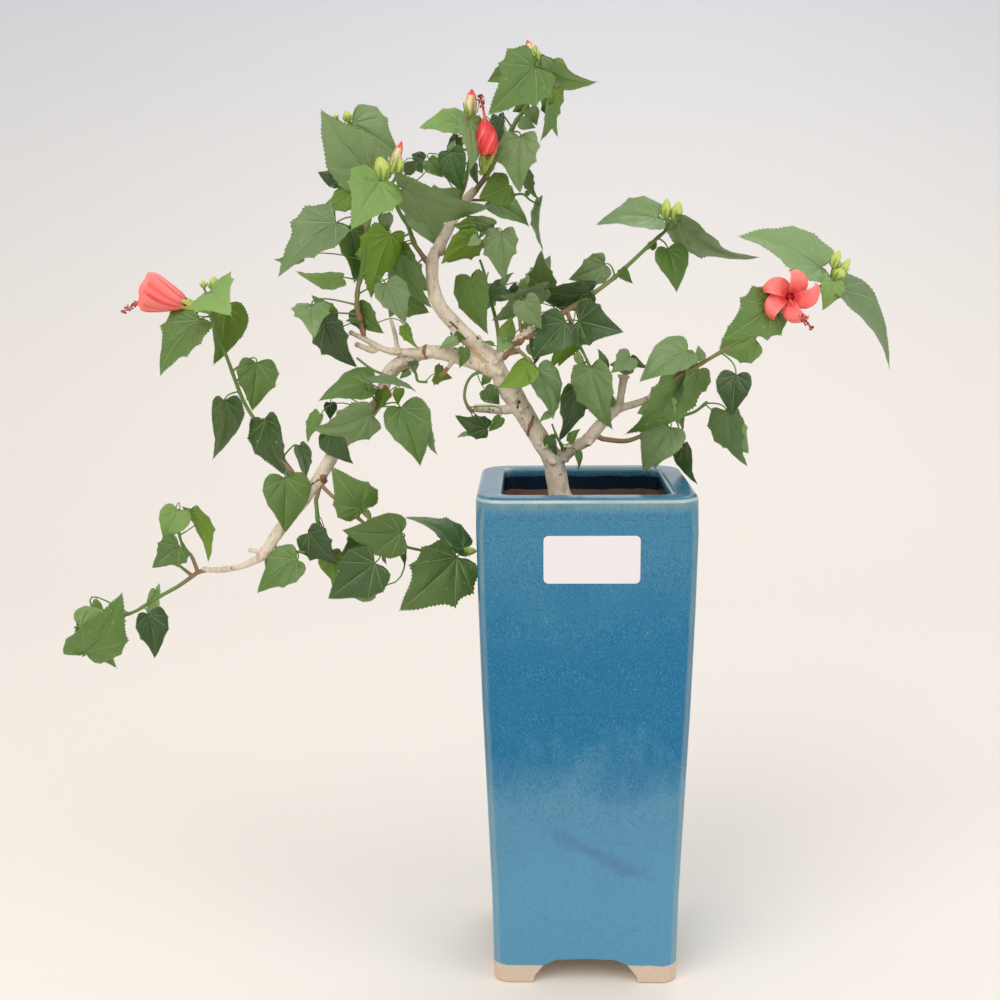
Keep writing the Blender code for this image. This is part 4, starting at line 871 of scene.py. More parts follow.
def arm_proxy(start, foot):
    """A leaf stalk with room round it."""
    radius = (STALK_WIDTH / 2 + GAP) * MM
    return tree_of(tube([(start, radius), (foot, radius)], STEM_SIDES))


def echo_leaf(frame, dense_routes, blocked, own, used, draw):
    """A smaller leaf behind a front one, its upper face to the back."""
    foot, along, length = frame.foot, frame.along, frame.length
    wanted = draw.random() < ECHO_SHARE
    size = draw.uniform(0.70, 0.85)
    back = draw.uniform(18.0, 45.0)
    twist = draw.uniform(-0.9, 0.9)
    if not wanted or length < ECHO_SMALLEST * MM:
        return None
    view = (foot - EYE).normalized()
    for extra in (0.0, 6.0, 12.0, -6.0):
        shift = view * ((back + extra) * MM)
        middle = foot + along * (length * 0.5) + shift
        flat = (along - view * along.dot(view)).normalized()
        side = flat.cross(view).normalized()
        new_along = (flat * math.cos(twist) + side * math.sin(twist)).normalized()
        new_along = (new_along + view * draw.uniform(-0.35, 0.35)).normalized()
        new_cross = new_along.cross(view).normalized()
        new_normal = new_cross.cross(new_along).normalized()
        if new_normal.dot(view) < 0:
            new_normal = -new_normal
        new_length = min(length, 34 * MM) * size
        new_width = new_length * LEAF_RATIO
        new_foot = middle - new_along * (new_length * 0.5)
        start = min(
            (place for route in dense_routes for place, _ in route),
            key=lambda place: (place - new_foot).length + crowding(place, used),
        )
        made = LeafFrame(new_foot, new_along, new_cross, new_normal, new_length, new_width)
        proxy = tree_of(leaf_solid(*made, None, CLEAR_THICK * MM))
        arm = arm_proxy(start, new_foot)
        if touches([proxy, arm], blocked) or touches([proxy], own):
            continue
        own.append(proxy)
        own.append(arm)
        used.append(start)
        return made, start
    return None


def place_leaf(leaf, dense, blocked, own, used, draw):
    """A leaf's frame, its start, and blade and stalk with room round them, if it fits."""
    depth, start, _ = nearest_stem(dense, leaf.foot_u, leaf.foot_v, used)
    choice = None
    for nudge in NUDGES:
        frame = leaf_frame(leaf, depth + leaf.lay + nudge, draw)
        proxy = tree_of(leaf_solid(*frame, None, CLEAR_THICK * MM))
        arm = arm_proxy(start, frame.foot)
        if touches([proxy, arm], blocked):
            continue
        free = not touches([proxy], own)
        if choice is None or free:
            choice = (frame, start, proxy, arm)
        if free:
            break
    return choice


def column_bodies(root, foot, tip, first, last, size):
    """A stamen column: a thin tube with a knob at its tip."""
    return [tube([(root, first * size / 2), (tip, last * size / 2)], 4),
            spindle(tip.lerp(foot, 0.25), tip, 8 * size, 0.6, 0.3)]


def lay_out_shoot(shoot, routes, blocked, draw):
    """Places of one shoot's leaves, buds and blossoms, and the space they take."""
    dense = [finer_route(route, 6)[:-1] for route in routes]
    parts = [tube(route, STEM_SIDES) for route in routes]
    own, arms, used, placed, buds, furled = [], [], [], [], [], []
    for leaf in [Leaf(*row) for row in shoot["leaves"]]:
        choice = place_leaf(leaf, dense, blocked, own, used, draw)
        if choice is None:
            continue
        frame, start, proxy, arm = choice
        own.append(proxy)
        arms.append(arm)
        parts.extend(leaf_bodies(frame, start))
        placed.append(Placed(frame, start, leaf.side))
        echo = echo_leaf(frame, dense, blocked, own, used, draw)
        if echo:
            parts.extend(leaf_bodies(*echo))
            placed.append(Placed(*echo, leaf.side))
    for foot_u, foot_v, tip_u, tip_v, width in shoot.get("buds", ()):
        depth, start, radius = nearest_stem(dense, foot_u, foot_v)
        foot = at(foot_u, foot_v, depth)
        tip = at(tip_u, tip_v, depth)
        width *= square_size(foot)
        parts.append(spindle(foot, tip, width))
        parts.append(stalk(start, foot, tip, radius))
        buds.append((start, foot, tip, width))
    for foot_u, foot_v, tip_u, tip_v, first, last in shoot.get("furled", ()):
        depth = nearest_stem(dense, foot_u, foot_v)[0]
        foot = at(foot_u, foot_v, depth)
        tip = at(tip_u, tip_v, depth)
        size = square_size(foot)
        if first == last:
            parts.extend(column_bodies(foot.lerp(tip, -0.3), foot, tip, first, last, size))
        else:
            parts.append(flare(foot, tip, first * size, last * size))
        furled.append((foot, tip, first * size, last * size))
    open_bloom = None
    if "open" in shoot:
        (centre_u, centre_v, reach), column = shoot["open"]
        depth, start, _ = nearest_stem(dense, centre_u, centre_v)
        depth -= 4
        centre = at(centre_u, centre_v, depth)
        size = square_size(centre)
        facing = (EYE - centre).normalized()
        parts.extend(petal_ring(centre, facing, reach * size))
        parts.append(spindle(start, centre + facing * 2 * MM, 12 * size, 0.6, 0.5))
        foot_u, foot_v, tip_u, tip_v, first, last = column
        foot = at(foot_u, foot_v, depth)
        tip = at(tip_u, tip_v, depth - 10)
        parts.extend(column_bodies(foot, foot, tip, first, last, size))
        open_bloom = (start, centre, facing, reach * size, foot, tip)
    laid = {"leaves": placed, "buds": buds, "furled": furled, "open": open_bloom}
    return laid, own + arms + [tree_of(part) for part in parts]


def lay_out_plant():
    """Every shoot's stems, leaves, buds and blossoms, by the seeded rule of the solids."""
    limbs = limb_trees()
    solid = vessel_trees() + limbs
    routes = {name: shoot_stems(shoot, limbs) for name, shoot in SHOOTS.items()}
    taken = {name: [fat_tube(route) for route in routes[name]] for name in SHOOTS}
    plant = {}
    for number, (name, shoot) in enumerate(SHOOTS.items()):
        others = [tree for other, trees in taken.items() if other != name for tree in trees]
        draw = random.Random(SEED + number)
        laid, own = lay_out_shoot(shoot, routes[name], solid + others, draw)
        taken[name] = taken[name] + own
        laid["routes"] = routes[name]
        plant[name] = laid
    return plant


def paint(red, green, blue):
    """A colour given in 0 to 255 steps of a paint chart, as the shaders count light."""
    shares = [value / 255 for value in (red, green, blue)]
    return tuple(s / 12.92 if s < 0.04045 else ((s + 0.055) / 1.055) ** 2.4 for s in shares)


def shaded(colour, by):
    """A colour made darker or lighter."""
    return tuple(min(value * by, 1.0) for value in colour)


class Flow:
    """A value in a finish's nodes, so that shader maths reads as sums."""

    def __init__(self, finish, socket):
        self.finish = finish
        self.socket = socket

    def __add__(self, other):
        return self.finish.maths("ADD", self, other)

    def __sub__(self, other):
        return self.finish.maths("SUBTRACT", self, other)

    def __rsub__(self, other):
        return self.finish.maths("SUBTRACT", other, self)

    def __mul__(self, other):
        return self.finish.maths("MULTIPLY", self, other)

    def __truediv__(self, other):
        return self.finish.maths("DIVIDE", self, other)

    __radd__ = __add__
    __rmul__ = __mul__

    def __abs__(self):
        return self.finish.maths("ABSOLUTE", self)

    def rises(self, low, high):
        """0 below low, 1 above high, and smooth between."""
        return self.finish.node(
            "ShaderNodeMapRange",
            {"interpolation_type": "SMOOTHSTEP"},
            {"Value": self, "From Min": low, "From Max": high},
        )

    def falls(self, low, high):
        """1 below low, 0 above high, and smooth between."""
        return 1.0 - self.rises(low, high)


class Finish:
    """One material: its shader and the nodes that vary it over the surface."""

    def __init__(self, name, colour, roughness, **sockets):
        self.material = bpy.data.materials.new(name)
        self.material.use_nodes = True
        self.tree = self.material.node_tree
        self.shader = self.tree.nodes["Principled BSDF"]
        self.set("Base Color", (*colour, 1.0))
        self.set("Roughness", roughness)
        for key, value in sockets.items():
            self.set(key.replace("_", " ").title(), value)
        self.material.diffuse_color = (*colour, 1.0)

    def feed(self, socket, value):
        """Join a value's nodes to a socket, or set the socket to a plain value."""
        if isinstance(value, Flow):
            self.tree.links.new(value.socket, socket)
        else:
            socket.default_value = value

    def set(self, name, value):
        """Set or feed one of the shader's own sockets."""
        self.feed(self.shader.inputs[name.replace("Ior", "IOR")], value)

    def node(self, kind, settings, sockets, output=0):
        """A node of a type, its settings set first, then its sockets; gives one output."""
        made = self.tree.nodes.new(kind)
        for name, value in settings.items():
            setattr(made, name, value)
        for name, value in sockets.items():
            self.feed(made.inputs[name], value)
        return Flow(self, made.outputs[output])

    def most(self, first, second):
        """The greater of two values."""
        return self.maths("MAXIMUM", first, second)

    def maths(self, operation, *values):
        """One of the maths node's operations."""
        return self.node("ShaderNodeMath", {"operation": operation}, dict(enumerate(values)))

    def mix(self, share, first, second):
        """A colour between two, the second where share is 1."""
        sides = [c if isinstance(c, Flow) else (*c, 1.0) for c in (first, second)]
        return self.node("ShaderNodeMix", {"data_type": "RGBA"}, {0: share, 6: sides[0], 7: sides[1]}, 2)

    def ramp(self, share, stops):
        """A colour that runs through stops, each a share and the colour there."""
        made = self.node("ShaderNodeValToRGB", {}, {0: share})
        elements = made.socket.node.color_ramp.elements
        elements.remove(elements[1])
        elements[0].position = stops[0][0]
        elements[0].color = (*stops[0][1], 1.0)
        for position, colour in stops[1:]:
            elements.new(position).color = (*colour, 1.0)
        return made

    def spot(self, stretch=(1.0, 1.0, 1.0), centre=(0.0, 0.0, 0.0)):
        """Places on the piece, measured from a centre and stretched."""
        place = self.node("ShaderNodeTexCoord", {}, {}, 3)
        moved = tuple(-c * s for c, s in zip(centre, stretch))
        return self.node("ShaderNodeMapping", {}, {"Vector": place, "Location": moved, "Scale": stretch})

    def axes(self, centre):
        """Distances from a centre along x, y and z."""
        place = self.spot(centre=centre)
        return [self.node("ShaderNodeSeparateXYZ", {}, {0: place}, axis) for axis in range(3)]

    def grain(self, scale, detail=3.0, rough=0.55, stretch=(1.0, 1.0, 1.0)):
        """Noise around 0.5."""
        return self.node(
            "ShaderNodeTexNoise", {},
            {"Vector": self.spot(stretch), "Scale": scale, "Detail": detail, "Roughness": rough},
        )

    def dots(self, scale):
        """Distance from scattered points."""
        return self.node("ShaderNodeTexVoronoi", {}, {"Vector": self.spot(), "Scale": scale})

    def relief(self, height, depth, strength=1.0):
        """Bump of a depth in metres where height is 1."""
        bump = self.node("ShaderNodeBump", {}, {"Strength": strength, "Distance": depth, "Height": height})
        self.set("Normal", bump)


def glaze_finish(looks):
    """Blue glaze that pools and speckles, with a painted reflection near the foot, painted highlights on its
    edges, and bare clay feet.

    Heights, and distances from the pot's upright axis, are in metres.
    """
    made = Finish("blue_glaze", looks.glaze_deep, 0.13, specular_ior_level=0.32)
    x, y, z = made.axes(SHIFT)
    far = made.most(abs(x), abs(y))
    near = made.maths("MINIMUM", abs(x), abs(y))
    cloud = made.grain(26.0, 4.0, 0.62)
    run = made.grain(150.0, 3.0, 0.6, (1.0, 1.0, 0.30))
    speck = made.grain(1400.0, 2.0, 0.6, (1.0, 1.0, 0.6))
    blotch = made.grain(330.0, 3.0, 0.6)
    # Painted reflection that makes the glaze paler near the foot, then the deep waist and the band under the
    # rim.
    height = z / (POT_HEIGHT * MM) + (cloud - 0.5) * 0.30 + (run - 0.5) * 0.10
    light, deep, rim = looks.glaze_foot_reflection, looks.glaze_deep, looks.glaze_rim
    blue = made.ramp(height, (
        (0.0, light), (0.20, light), (0.38, shaded(light, 0.88)), (0.52, deep),
        (0.70, deep), (0.90, rim), (1.0, rim),
    ))
    # Dark and pale speckle, then broad dark blotches, weaker near the foot under the painted reflection.
    band = z.rises(0.070, 0.13) * 0.65 + 0.35
    blue = made.mix(speck.rises(0.50, 0.70) * band * 0.50, blue, shaded(deep, 0.55))
    blue = made.mix(speck.falls(0.32, 0.47) * band * 0.30, blue, shaded(light, 1.22))
    blue = made.mix(blotch.rises(0.52, 0.70) * band * 0.34, blue, shaded(deep, 0.78))
    # Pale flecks: many in a belt above the waist, a few larger ones anywhere.
    spark = made.dots(190.0).falls(0.030, 0.075) * run.rises(0.52, 0.62)
    spark = spark * z.rises(0.14, 0.17) * z.falls(0.20, 0.225)
    spark = made.most(spark, made.dots(48.0).falls(0.012, 0.026) * 0.8)
    blue = made.mix(spark * 0.62, blue, looks.glaze_fleck)
    # Violet streak low on the front.
    arc = abs(z - (0.0790 - x * 0.52 + x * x * 2.6) + (cloud - 0.5) * 0.012 + (run - 0.5) * 0.006)
    arc = arc.falls(0.0006, 0.0072) * abs(x - 0.008).falls(0.016, 0.034) * y.falls(-0.045, -0.040)
    blue = made.mix(arc * (blotch + 0.1) * 0.55, blue, looks.glaze_violet)
    # Painted highlight along the upright corners and round the rim's outer edge.
    corner = (far - near).falls(0.0006, 0.0036) * (run * 0.8 + 0.1) * 0.6
    outer = far.rises(0.0470, 0.0490)
    brow_highlight = z.rises(0.2630, 0.2702) * z.falls(0.2712, 0.2720) * outer * (run + 0.1) * 0.6
    blue = made.mix(made.most(corner, brow_highlight), blue, looks.edge_highlight)
    # Painted highlight along the rim's two edges.
    brink_highlight = z.rises(0.2698, 0.2708) * z.falls(0.2714, 0.2721) * outer * (cloud + 0.05)
    brink_highlight = made.most(brink_highlight * 0.9, z.rises(0.2708, 0.2724) * far.falls(0.0452, 0.0462) * 0.45)
    blue = made.mix(brink_highlight, blue, looks.rim_highlight)
    # Dark glaze inside, bare clay below it and on the feet.
    inside = far.falls(0.0450, 0.0464)
    wavy = z + (made.grain(90.0) - 0.5) * 0.0022
    dark = inside * wavy.falls(0.2676, 0.2692)
    blue = made.mix(dark, blue, looks.glaze_inside)
    bare = inside * wavy.falls(0.2598, 0.2606)
    foot = made.most(wavy.falls(0.0098, 0.0106), far.falls(0.0458, 0.0462) * z.falls(0.016, 0.017))
    clay = made.mix(made.grain(420.0, 4.0, 0.7), looks.clay, shaded(looks.clay, 0.72))
    inner_clay = made.mix(made.grain(300.0, 4.0, 0.7), looks.inner_clay, shaded(looks.inner_clay, 0.7))
    blue = made.mix(bare, blue, inner_clay)
    made.set("Base Color", made.mix(foot, blue, clay))
    rough = made.most(bare, foot)
    made.set("Roughness", 0.13 + cloud * 0.10 + rough * 0.62)
    dimple = made.grain(210.0, 2.0, 0.5) * 0.5 + speck * 0.20 + made.grain(1800.0, 3.0) * rough * 0.9
    made.relief(dimple, 0.00045, 0.5)
    return made.material


def soil_finish(looks):
    """Dark potting soil with paler grit."""
    made = Finish("potting_soil", looks.soil, 0.95)
    tone = made.grain(260.0, 5.0, 0.7)
    grit = made.dots(420.0).falls(0.12, 0.30)
    brown = made.mix(tone, shaded(looks.soil, 0.5), shaded(looks.soil, 1.7))
    made.set("Base Color", made.mix(grit * 0.45, brown, looks.inner_clay))
    made.relief(tone + grit * 0.4, 0.0012)
    return made.material


def bark_finish(looks):
    """Pale smooth bark with greyer patches, fine cracks and small dark pores."""
    made = Finish("pale_bark", looks.bark, 0.8)
    patch = made.grain(70.0, 4.0, 0.6).rises(0.38, 0.66)
    streak = made.grain(420.0, 4.0, 0.65, (1.0, 1.0, 0.35))
    tone = made.mix(patch * 0.6, looks.bark, looks.bark_grey)
    tone = made.mix(streak.rises(0.48, 0.72) * 0.55, tone, looks.bark_dark)
    pore = made.dots(330.0).falls(0.16, 0.30) * made.grain(160.0).rises(0.50, 0.60)
    tone = made.mix(pore * 0.75, tone, looks.bark_pore)
    made.set("Base Color", tone)
    made.set("Roughness", 0.72 + streak * 0.2)
    made.relief(streak + made.grain(1500.0) * 0.4 - pore * 0.6, 0.00035, 0.8)
    return made.material


def plain_finish(name, colour, roughness, grain_scale=0.0, depth=0.0, **sockets):
    """An even colour; a fine relief where a grain scale is given."""
    made = Finish(name, colour, roughness, **sockets)
    if grain_scale:
        made.relief(made.grain(grain_scale, 3.0), depth, 0.6)
    return made.material


LEAF_SIDES = "dmgbyu"
LEAF_SHADES = (0.82, 1.0, 1.16)
FACE_ROUGH = 0.46
BACK_ROUGH = 0.62
CRINKLE_GRAIN = 330.0
CRINKLE_DEPTH = 0.0011


def leaf_finishes(looks):
    """Leaf colours: three shades of each upper face, its veins, and the under faces."""
    # The grey upper face (g) is a painted reflection of the sky.
    upper = {
        "d": looks.leaf_deep, "m": looks.leaf_mid, "g": looks.leaf_sky_reflection,
        "b": looks.leaf_bright, "y": looks.leaf_mid, "u": looks.leaf_mid,
    }
    # The olive under face (y) is painted light shining through the leaf.
    under = {"y": looks.leaf_backlit, "u": looks.leaf_pale, "b": looks.leaf_bright_under}
    made = {}
    for side in LEAF_SIDES:
        face = tuple(upper[side])
        back = tuple(under.get(side, looks.leaf_under))
        vein = tuple(a * 0.45 + b * 0.55 for a, b in zip(face, looks.vein))
        back_vein = tuple(a * 0.5 + b * 0.5 for a, b in zip(back, looks.vein))
        for number, by in enumerate(LEAF_SHADES):
            for kind, colour, rough in (("face", face, FACE_ROUGH), ("back", back, BACK_ROUGH)):
                made[side, kind, number] = plain_finish(
                    f"leaf_{side}_{kind}_{number}", shaded(colour, by), rough, CRINKLE_GRAIN, CRINKLE_DEPTH)
        made[side, "vein", 0] = plain_finish(f"leaf_{side}_vein", vein, 0.5)
        made[side, "back_vein", 0] = plain_finish(f"leaf_{side}_back_vein", back_vein, 0.6)
    return made


class Heap:
    """Vertices and faces of many small things that end as one mesh."""

    def __init__(self):
        self.places = []
        self.faces = []
        self.finishes = []

    def add(self, places, faces, finish):
        """Faces count from their own first place; finish is one material or one a face."""
        first = len(self.places)
        self.places.extend(places)
        self.faces.extend([[first + k for k in face] for face in faces])
        if isinstance(finish, list):
            self.finishes.extend(finish)
        else:
            self.finishes.extend([finish] * len(faces))

    def piece(self, name, nodes=()):
        """The heap as one piece of the plant that stands for its solids."""
        mesh = bpy.data.meshes.new(name)
        mesh.from_pydata(self.places, [], self.faces)
        order = list(dict.fromkeys(self.finishes))
        for finish in order:
            mesh.materials.append(finish)
        numbers = {finish: number for number, finish in enumerate(order)}
        mesh.polygons.foreach_set("material_index", [numbers[f] for f in self.finishes])
        mesh.update()
        made = stand(name, mesh)
        pick_only(made)
        bpy.ops.object.shade_smooth_by_angle(angle=math.radians(70))
        return settle(made, nodes)


def settle(made, nodes=()):
    """Let a piece ride on the plant and stand for solids."""
    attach(made, "root")
    if nodes:
        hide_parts(*nodes)
    return made


def stand(name, data):
    """A new object in the scene that shows some data."""
    made = bpy.data.objects.new(name, data)
    bpy.context.scene.collection.objects.link(made)
    return made


def block_out(add, name, scale=(1.0, 1.0, 1.0), turn=(0.0, 0.0, 0.0), **settings):
    """Add a plain form by one of Blender's own operators, named, sized and turned."""
    bpy.ops.object.select_all(action="DESELECT")
    add(**settings)
    made = bpy.context.object
    made.name = name
    made.scale = scale
    made.rotation_euler = turn
    bpy.ops.object.transform_apply(location=True, rotation=True, scale=True)
    return made


def cover(item, finish):
    """Give a piece one finish alone."""
    item.data.materials.clear()
    item.data.materials.append(finish)


def smooth(item):
    """Shade every face of a piece smooth."""
    for polygon in item.data.polygons:
        polygon.use_smooth = True


def pick_only(*objects):
    """Select these objects alone; the first is active."""
    bpy.ops.object.select_all(action="DESELECT")
    for item in objects:
        item.select_set(True)
    bpy.context.view_layer.objects.active = objects[0]


def apply_modifier(item, kind, **settings):
    """Add one modifier and apply it."""
    pick_only(item)
    made = item.modifiers.new(kind.lower(), kind)
    for name, value in settings.items():
        setattr(made, name, value)
    bpy.ops.object.modifier_apply(modifier=made.name)


def smooth_route(route, steps):
    """A rounded curve through a route's places."""
    result = []
    last = len(route) - 1
    for i in range(last):
        before = route[max(i - 1, 0)][0]
        start, radius = route[i]
        end, next_radius = route[i + 1]
        after = route[min(i + 2, last)][0]
        for k in range(steps):
            t = k / steps
            bend = start * 2 + (end - before) * t
            bend += (before * 2 - start * 5 + end * 4 - after) * t ** 2
            bend += (start * 3 - before - end * 3 + after) * t ** 3
            result.append((bend * 0.5, radius + (next_radius - radius) * t))
    result.append(route[-1])
    return result


def tube_faces(rings, count):
    """Faces of a tube whose rings follow each other in a list, with both ends closed."""
    faces = []
    for row in range(rings - 1):
        for k in range(count):
            n = (k + 1) % count
            low, high = row * count, (row + 1) * count
            faces.append([low + k, low + n, high + n, high + k])
    faces.append(list(range(count))[::-1])
    faces.append([(rings - 1) * count + k for k in range(count)])
    return faces


def add_tube(heap, route, count, finish, end_share=0.0):
    """A tube in a heap; finish is one material or a rule from share of length to one."""
    rings = tube_rings(route, count, end_share)
    faces = tube_faces(len(rings), count)
    if callable(finish):
        last = len(rings) - 1
        shares = [row / last for row in range(last) for _ in range(count)] + [0.0, 1.0]
        finish = [finish(share) for share in shares]
    heap.add([place for row in rings for place in row], faces, finish)


# Half outline of a leaf from the notch at its stalk round to its tip: share of
# length across and along, whether a vein ends there, and how far lobing pulls it in.
HALF_OUTLINE = (
    (0.010, 0.0, False, 0.0), (0.05, -0.035, False, 0.0), (0.12, -0.08, False, 0.0),
    (0.205, -0.105, False, 0.0), (0.29, -0.095, True, 0.0), (0.362, -0.02, False, 0.06),
    (0.398, 0.075, False, 0.07), (0.43, 0.175, True, -0.01), (0.405, 0.27, False, 0.06),
    (0.378, 0.355, False, 0.05), (0.365, 0.44, True, -0.05), (0.300, 0.515, False, 0.06),
    (0.245, 0.60, False, 0.09), (0.192, 0.69, False, 0.07), (0.140, 0.775, False, 0.03),
    (0.090, 0.86, False, 0.0), (0.043, 0.935, False, 0.0), (0.0, 1.0, True, 0.0),
)
SMALL_OUTLINE = (
    (0.012, 0.0, False, 0.0), (0.15, -0.09, False, 0.0), (0.30, -0.06, True, 0.0),
    (0.40, 0.14, False, 0.0), (0.38, 0.38, True, 0.0), (0.25, 0.62, False, 0.05),
    (0.11, 0.83, False, 0.0), (0.0, 1.0, True, 0.0),
)
LEAF_RINGS = (0.10, 0.26, 0.42, 0.58, 0.74, 0.88, 1.0)
SMALL_RINGS = (0.2, 0.55, 1.0)
VEIN_WIDTH = 0.0105
# Places between two of the margin's: share of the way, and how far it is drawn in.
TOOTH = ((0.22, 0.04), (0.5, 0.0), (0.72, 0.04))
LOBINGS = (-0.2, 0.4, 1.0)
SMALL_LOBING = 0.5
BLADE_THICK = 0.00034
# Swelling between veins, crinkles and veins on the under face, as shares of length;
# a drawn leaf is a little wider than its solid.
VEIN_SWELL = 0.024
CRINKLE = 0.022
BACK_VEIN_RISE = 0.0065
BLADE_WIDTH = 1.05
SHADE_CHOICES = (0, 1, 1, 1, 2)


def leaf_columns(half, lobing):
    """Places round a leaf's margin: across, along, side of a vein, share of swelling."""
    outline = []
    for x, y, veined, pull in half:
        inward = 1.0 - pull * lobing
        outline.append((x * inward, 0.25 + (y - 0.25) * inward if pull else y, veined))
    outline += [(-x, y, veined) for x, y, veined in reversed(outline[:-1])]
    veins = [k for k, place in enumerate(outline) if place[2]]
    columns = []
    for k, (x, y, veined) in enumerate(outline):
        left = [v for v in veins if v <= k] or [0]
        right = [v for v in veins if v >= k] or [len(outline) - 1]
        gap = max(right[0] - left[-1], 1)
        swell = math.sin(math.pi * (k - left[-1]) / gap)
        for shift in ((-1, 1) if veined else (0,)):
            columns.append((x, y, shift, 0.0 if veined else swell))
    return columns


def leaf_pattern(half, rings, lobing):
    """A leaf one unit long: its points, which lie on both faces, and its faces.

    A point is its place across and along, share of the way from the stalk to the
    margin, height of the swelling between veins, face (1 upper, -1 lower, 0 both)
    and whether it lies on a vein.  A face is its points and its kind.
    """
    columns = leaf_columns(half, lobing)
    points = [(0.0, 0.0, 0.0, 0.0, 0, False)]
    numbers = {}
    last_column = len(columns) - 1
    last_ring = len(rings) - 1
    for c, (x, y, shift, swell) in enumerate(columns):
        reach = math.hypot(x, y)
        square = (-y / reach, x / reach)
        for r, t in enumerate(rings):
            half_width = VEIN_WIDTH / 2 * min(t / 0.12, 1.0) * (1.15 - 0.95 * t) * (1.0 if x else 1.25)
            px = x * t + square[0] * half_width * shift
            py = y * t + square[1] * half_width * shift
            height = swell * math.sin(math.pi * min(t * 1.05, 1.0))
            height *= 1 + 0.5 * math.cos(17 * t + 3 * swell)
            shared = r == last_ring or c in (0, last_column)
            for face in ((0,) if shared else (1, -1)):
                numbers[c, r, face] = len(points)
                points.append((px, py, t, height, face, shift != 0))
    teeth = {}
    for c in range(last_column):
        if columns[c][:2] != columns[c + 1][:2]:
            teeth[c] = []
            for share, depth in TOOTH:
                inward = 1.0 - depth
                x = columns[c][0] + (columns[c + 1][0] - columns[c][0]) * share
                y = columns[c][1] + (columns[c + 1][1] - columns[c][1]) * share
                teeth[c].append(len(points))
                points.append((x * inward, 0.1 + (y - 0.1) * inward, inward, 0.0, 0, False))

    def point(c, r, face):
        return numbers.get((c, r, face), numbers.get((c, r, 0)))

    faces = []
    for c in range(last_column):
        vein = columns[c][:2] == columns[c + 1][:2]
        for face in (1, -1):
            kind = ("vein" if vein else "face") if face > 0 else ("back_vein" if vein else "back")
            loops = [[0, point(c, 0, face), point(c + 1, 0, face)]]
            for r in range(last_ring):
                loop = [point(c, r, face), point(c, r + 1, face)]
                if r == last_ring - 1 and c in teeth:
                    loop += teeth[c]
                loops.append(loop + [point(c + 1, r + 1, face), point(c + 1, r, face)])
            faces += [(loop if face > 0 else loop[::-1], kind) for loop in loops]
    return points, faces


def leaf_patterns():
    """Patterns of large leaves from barely to plainly lobed, and of small ones."""
    large = [leaf_pattern(HALF_OUTLINE, LEAF_RINGS, lobing) for lobing in LOBINGS]
    return large, leaf_pattern(SMALL_OUTLINE, SMALL_RINGS, SMALL_LOBING)


def add_leaf(heap, patterns, finishes, placed, draw):
    """One veined, toothed leaf in its solid's place."""
    foot, along, cross, normal, length, width = placed.frame
    large, small = patterns
    points, faces = draw.choice(large) if length > SMALL_LEAF * 1.25 * MM else small
    shade = draw.choice(SHADE_CHOICES)
    curl = draw.uniform(0.05, 0.16)
    wave = draw.uniform(0.010, 0.024)
    phase = draw.uniform(0.0, 6.28)
    sway = draw.uniform(-0.05, 0.05)
    tilt = draw.uniform(-0.05, 0.05)
    places = []
    for x, y, t, height, face, veined in points:
        share = abs(x) / (LEAF_RATIO / 2)
        rise = LEAF_BULGE * length * math.sin(math.pi * max(y, 0.0)) + LEAF_FOLD * width * share
        rise += height * VEIN_SWELL * length - curl * length * max(y - 0.55, 0.0) ** 2 * 2.0
        crinkle = noise.noise(Vector((x * 7.0, y * 7.0, phase * 9.0)))
        rise += crinkle * CRINKLE * length * min(t * 2.0, 1.0)
        turn = math.atan2(x, y + 0.1)
        rise += wave * length * math.sin(4.0 * turn + phase) * t ** 2 + tilt * x * length
        rise += face * BLADE_THICK / 2
        if face < 0 and veined:
            rise -= BACK_VEIN_RISE * length * (1.1 - t)
        bend = sway * length * t * t * (1.0 - t) * 4.0
        across = x * width * BLADE_WIDTH / LEAF_RATIO + bend
        places.append(foot + cross * across + along * (y * length) + normal * rise)
    used = []
    for loop, kind in faces:
        number = shade if kind in ("face", "back") else 0
        used.append(finishes[placed.side, kind, number])
    if cross.cross(along).dot(normal) < 0:
        loops = [loop for loop, kind in faces]
    else:
        loops = [loop[::-1] for loop, kind in faces]
    heap.add(places, loops, used)


def stalk_curve(start, foot, arrive, first, last, steps=6):
    """A leaf stalk's route that leaves its stem and arrives along its leaf."""
    run = (foot - start).length
    turn = foot - arrive * (run * 0.42)
    middle = start.lerp(turn, 0.5)
    route = []
    for k in range(steps + 1):
        t = k / steps
        a = start.lerp(middle, t).lerp(middle.lerp(turn, t), t)
        b = middle.lerp(turn, t).lerp(turn.lerp(foot, t), t)
        swell = 1.0 + 0.35 * (1 - min(t / 0.15, 1.0)) + 0.30 * max((t - 0.85) / 0.15, 0.0)
        route.append((a.lerp(b, t), (first + (last - first) * t) * swell))
    return route


def nearest_on(routes, place):
    """The nearest place on any of several routes."""
    return min((stop[0] for route in routes for stop in route), key=lambda p: (p - place).length)


# Shoots whose stems are woody to the end, and the woody share of other side stems.
WOODY_SHOOTS = ("left_inner_leaves", "fork_front_shoot")
SIDE_BROWN = 0.25


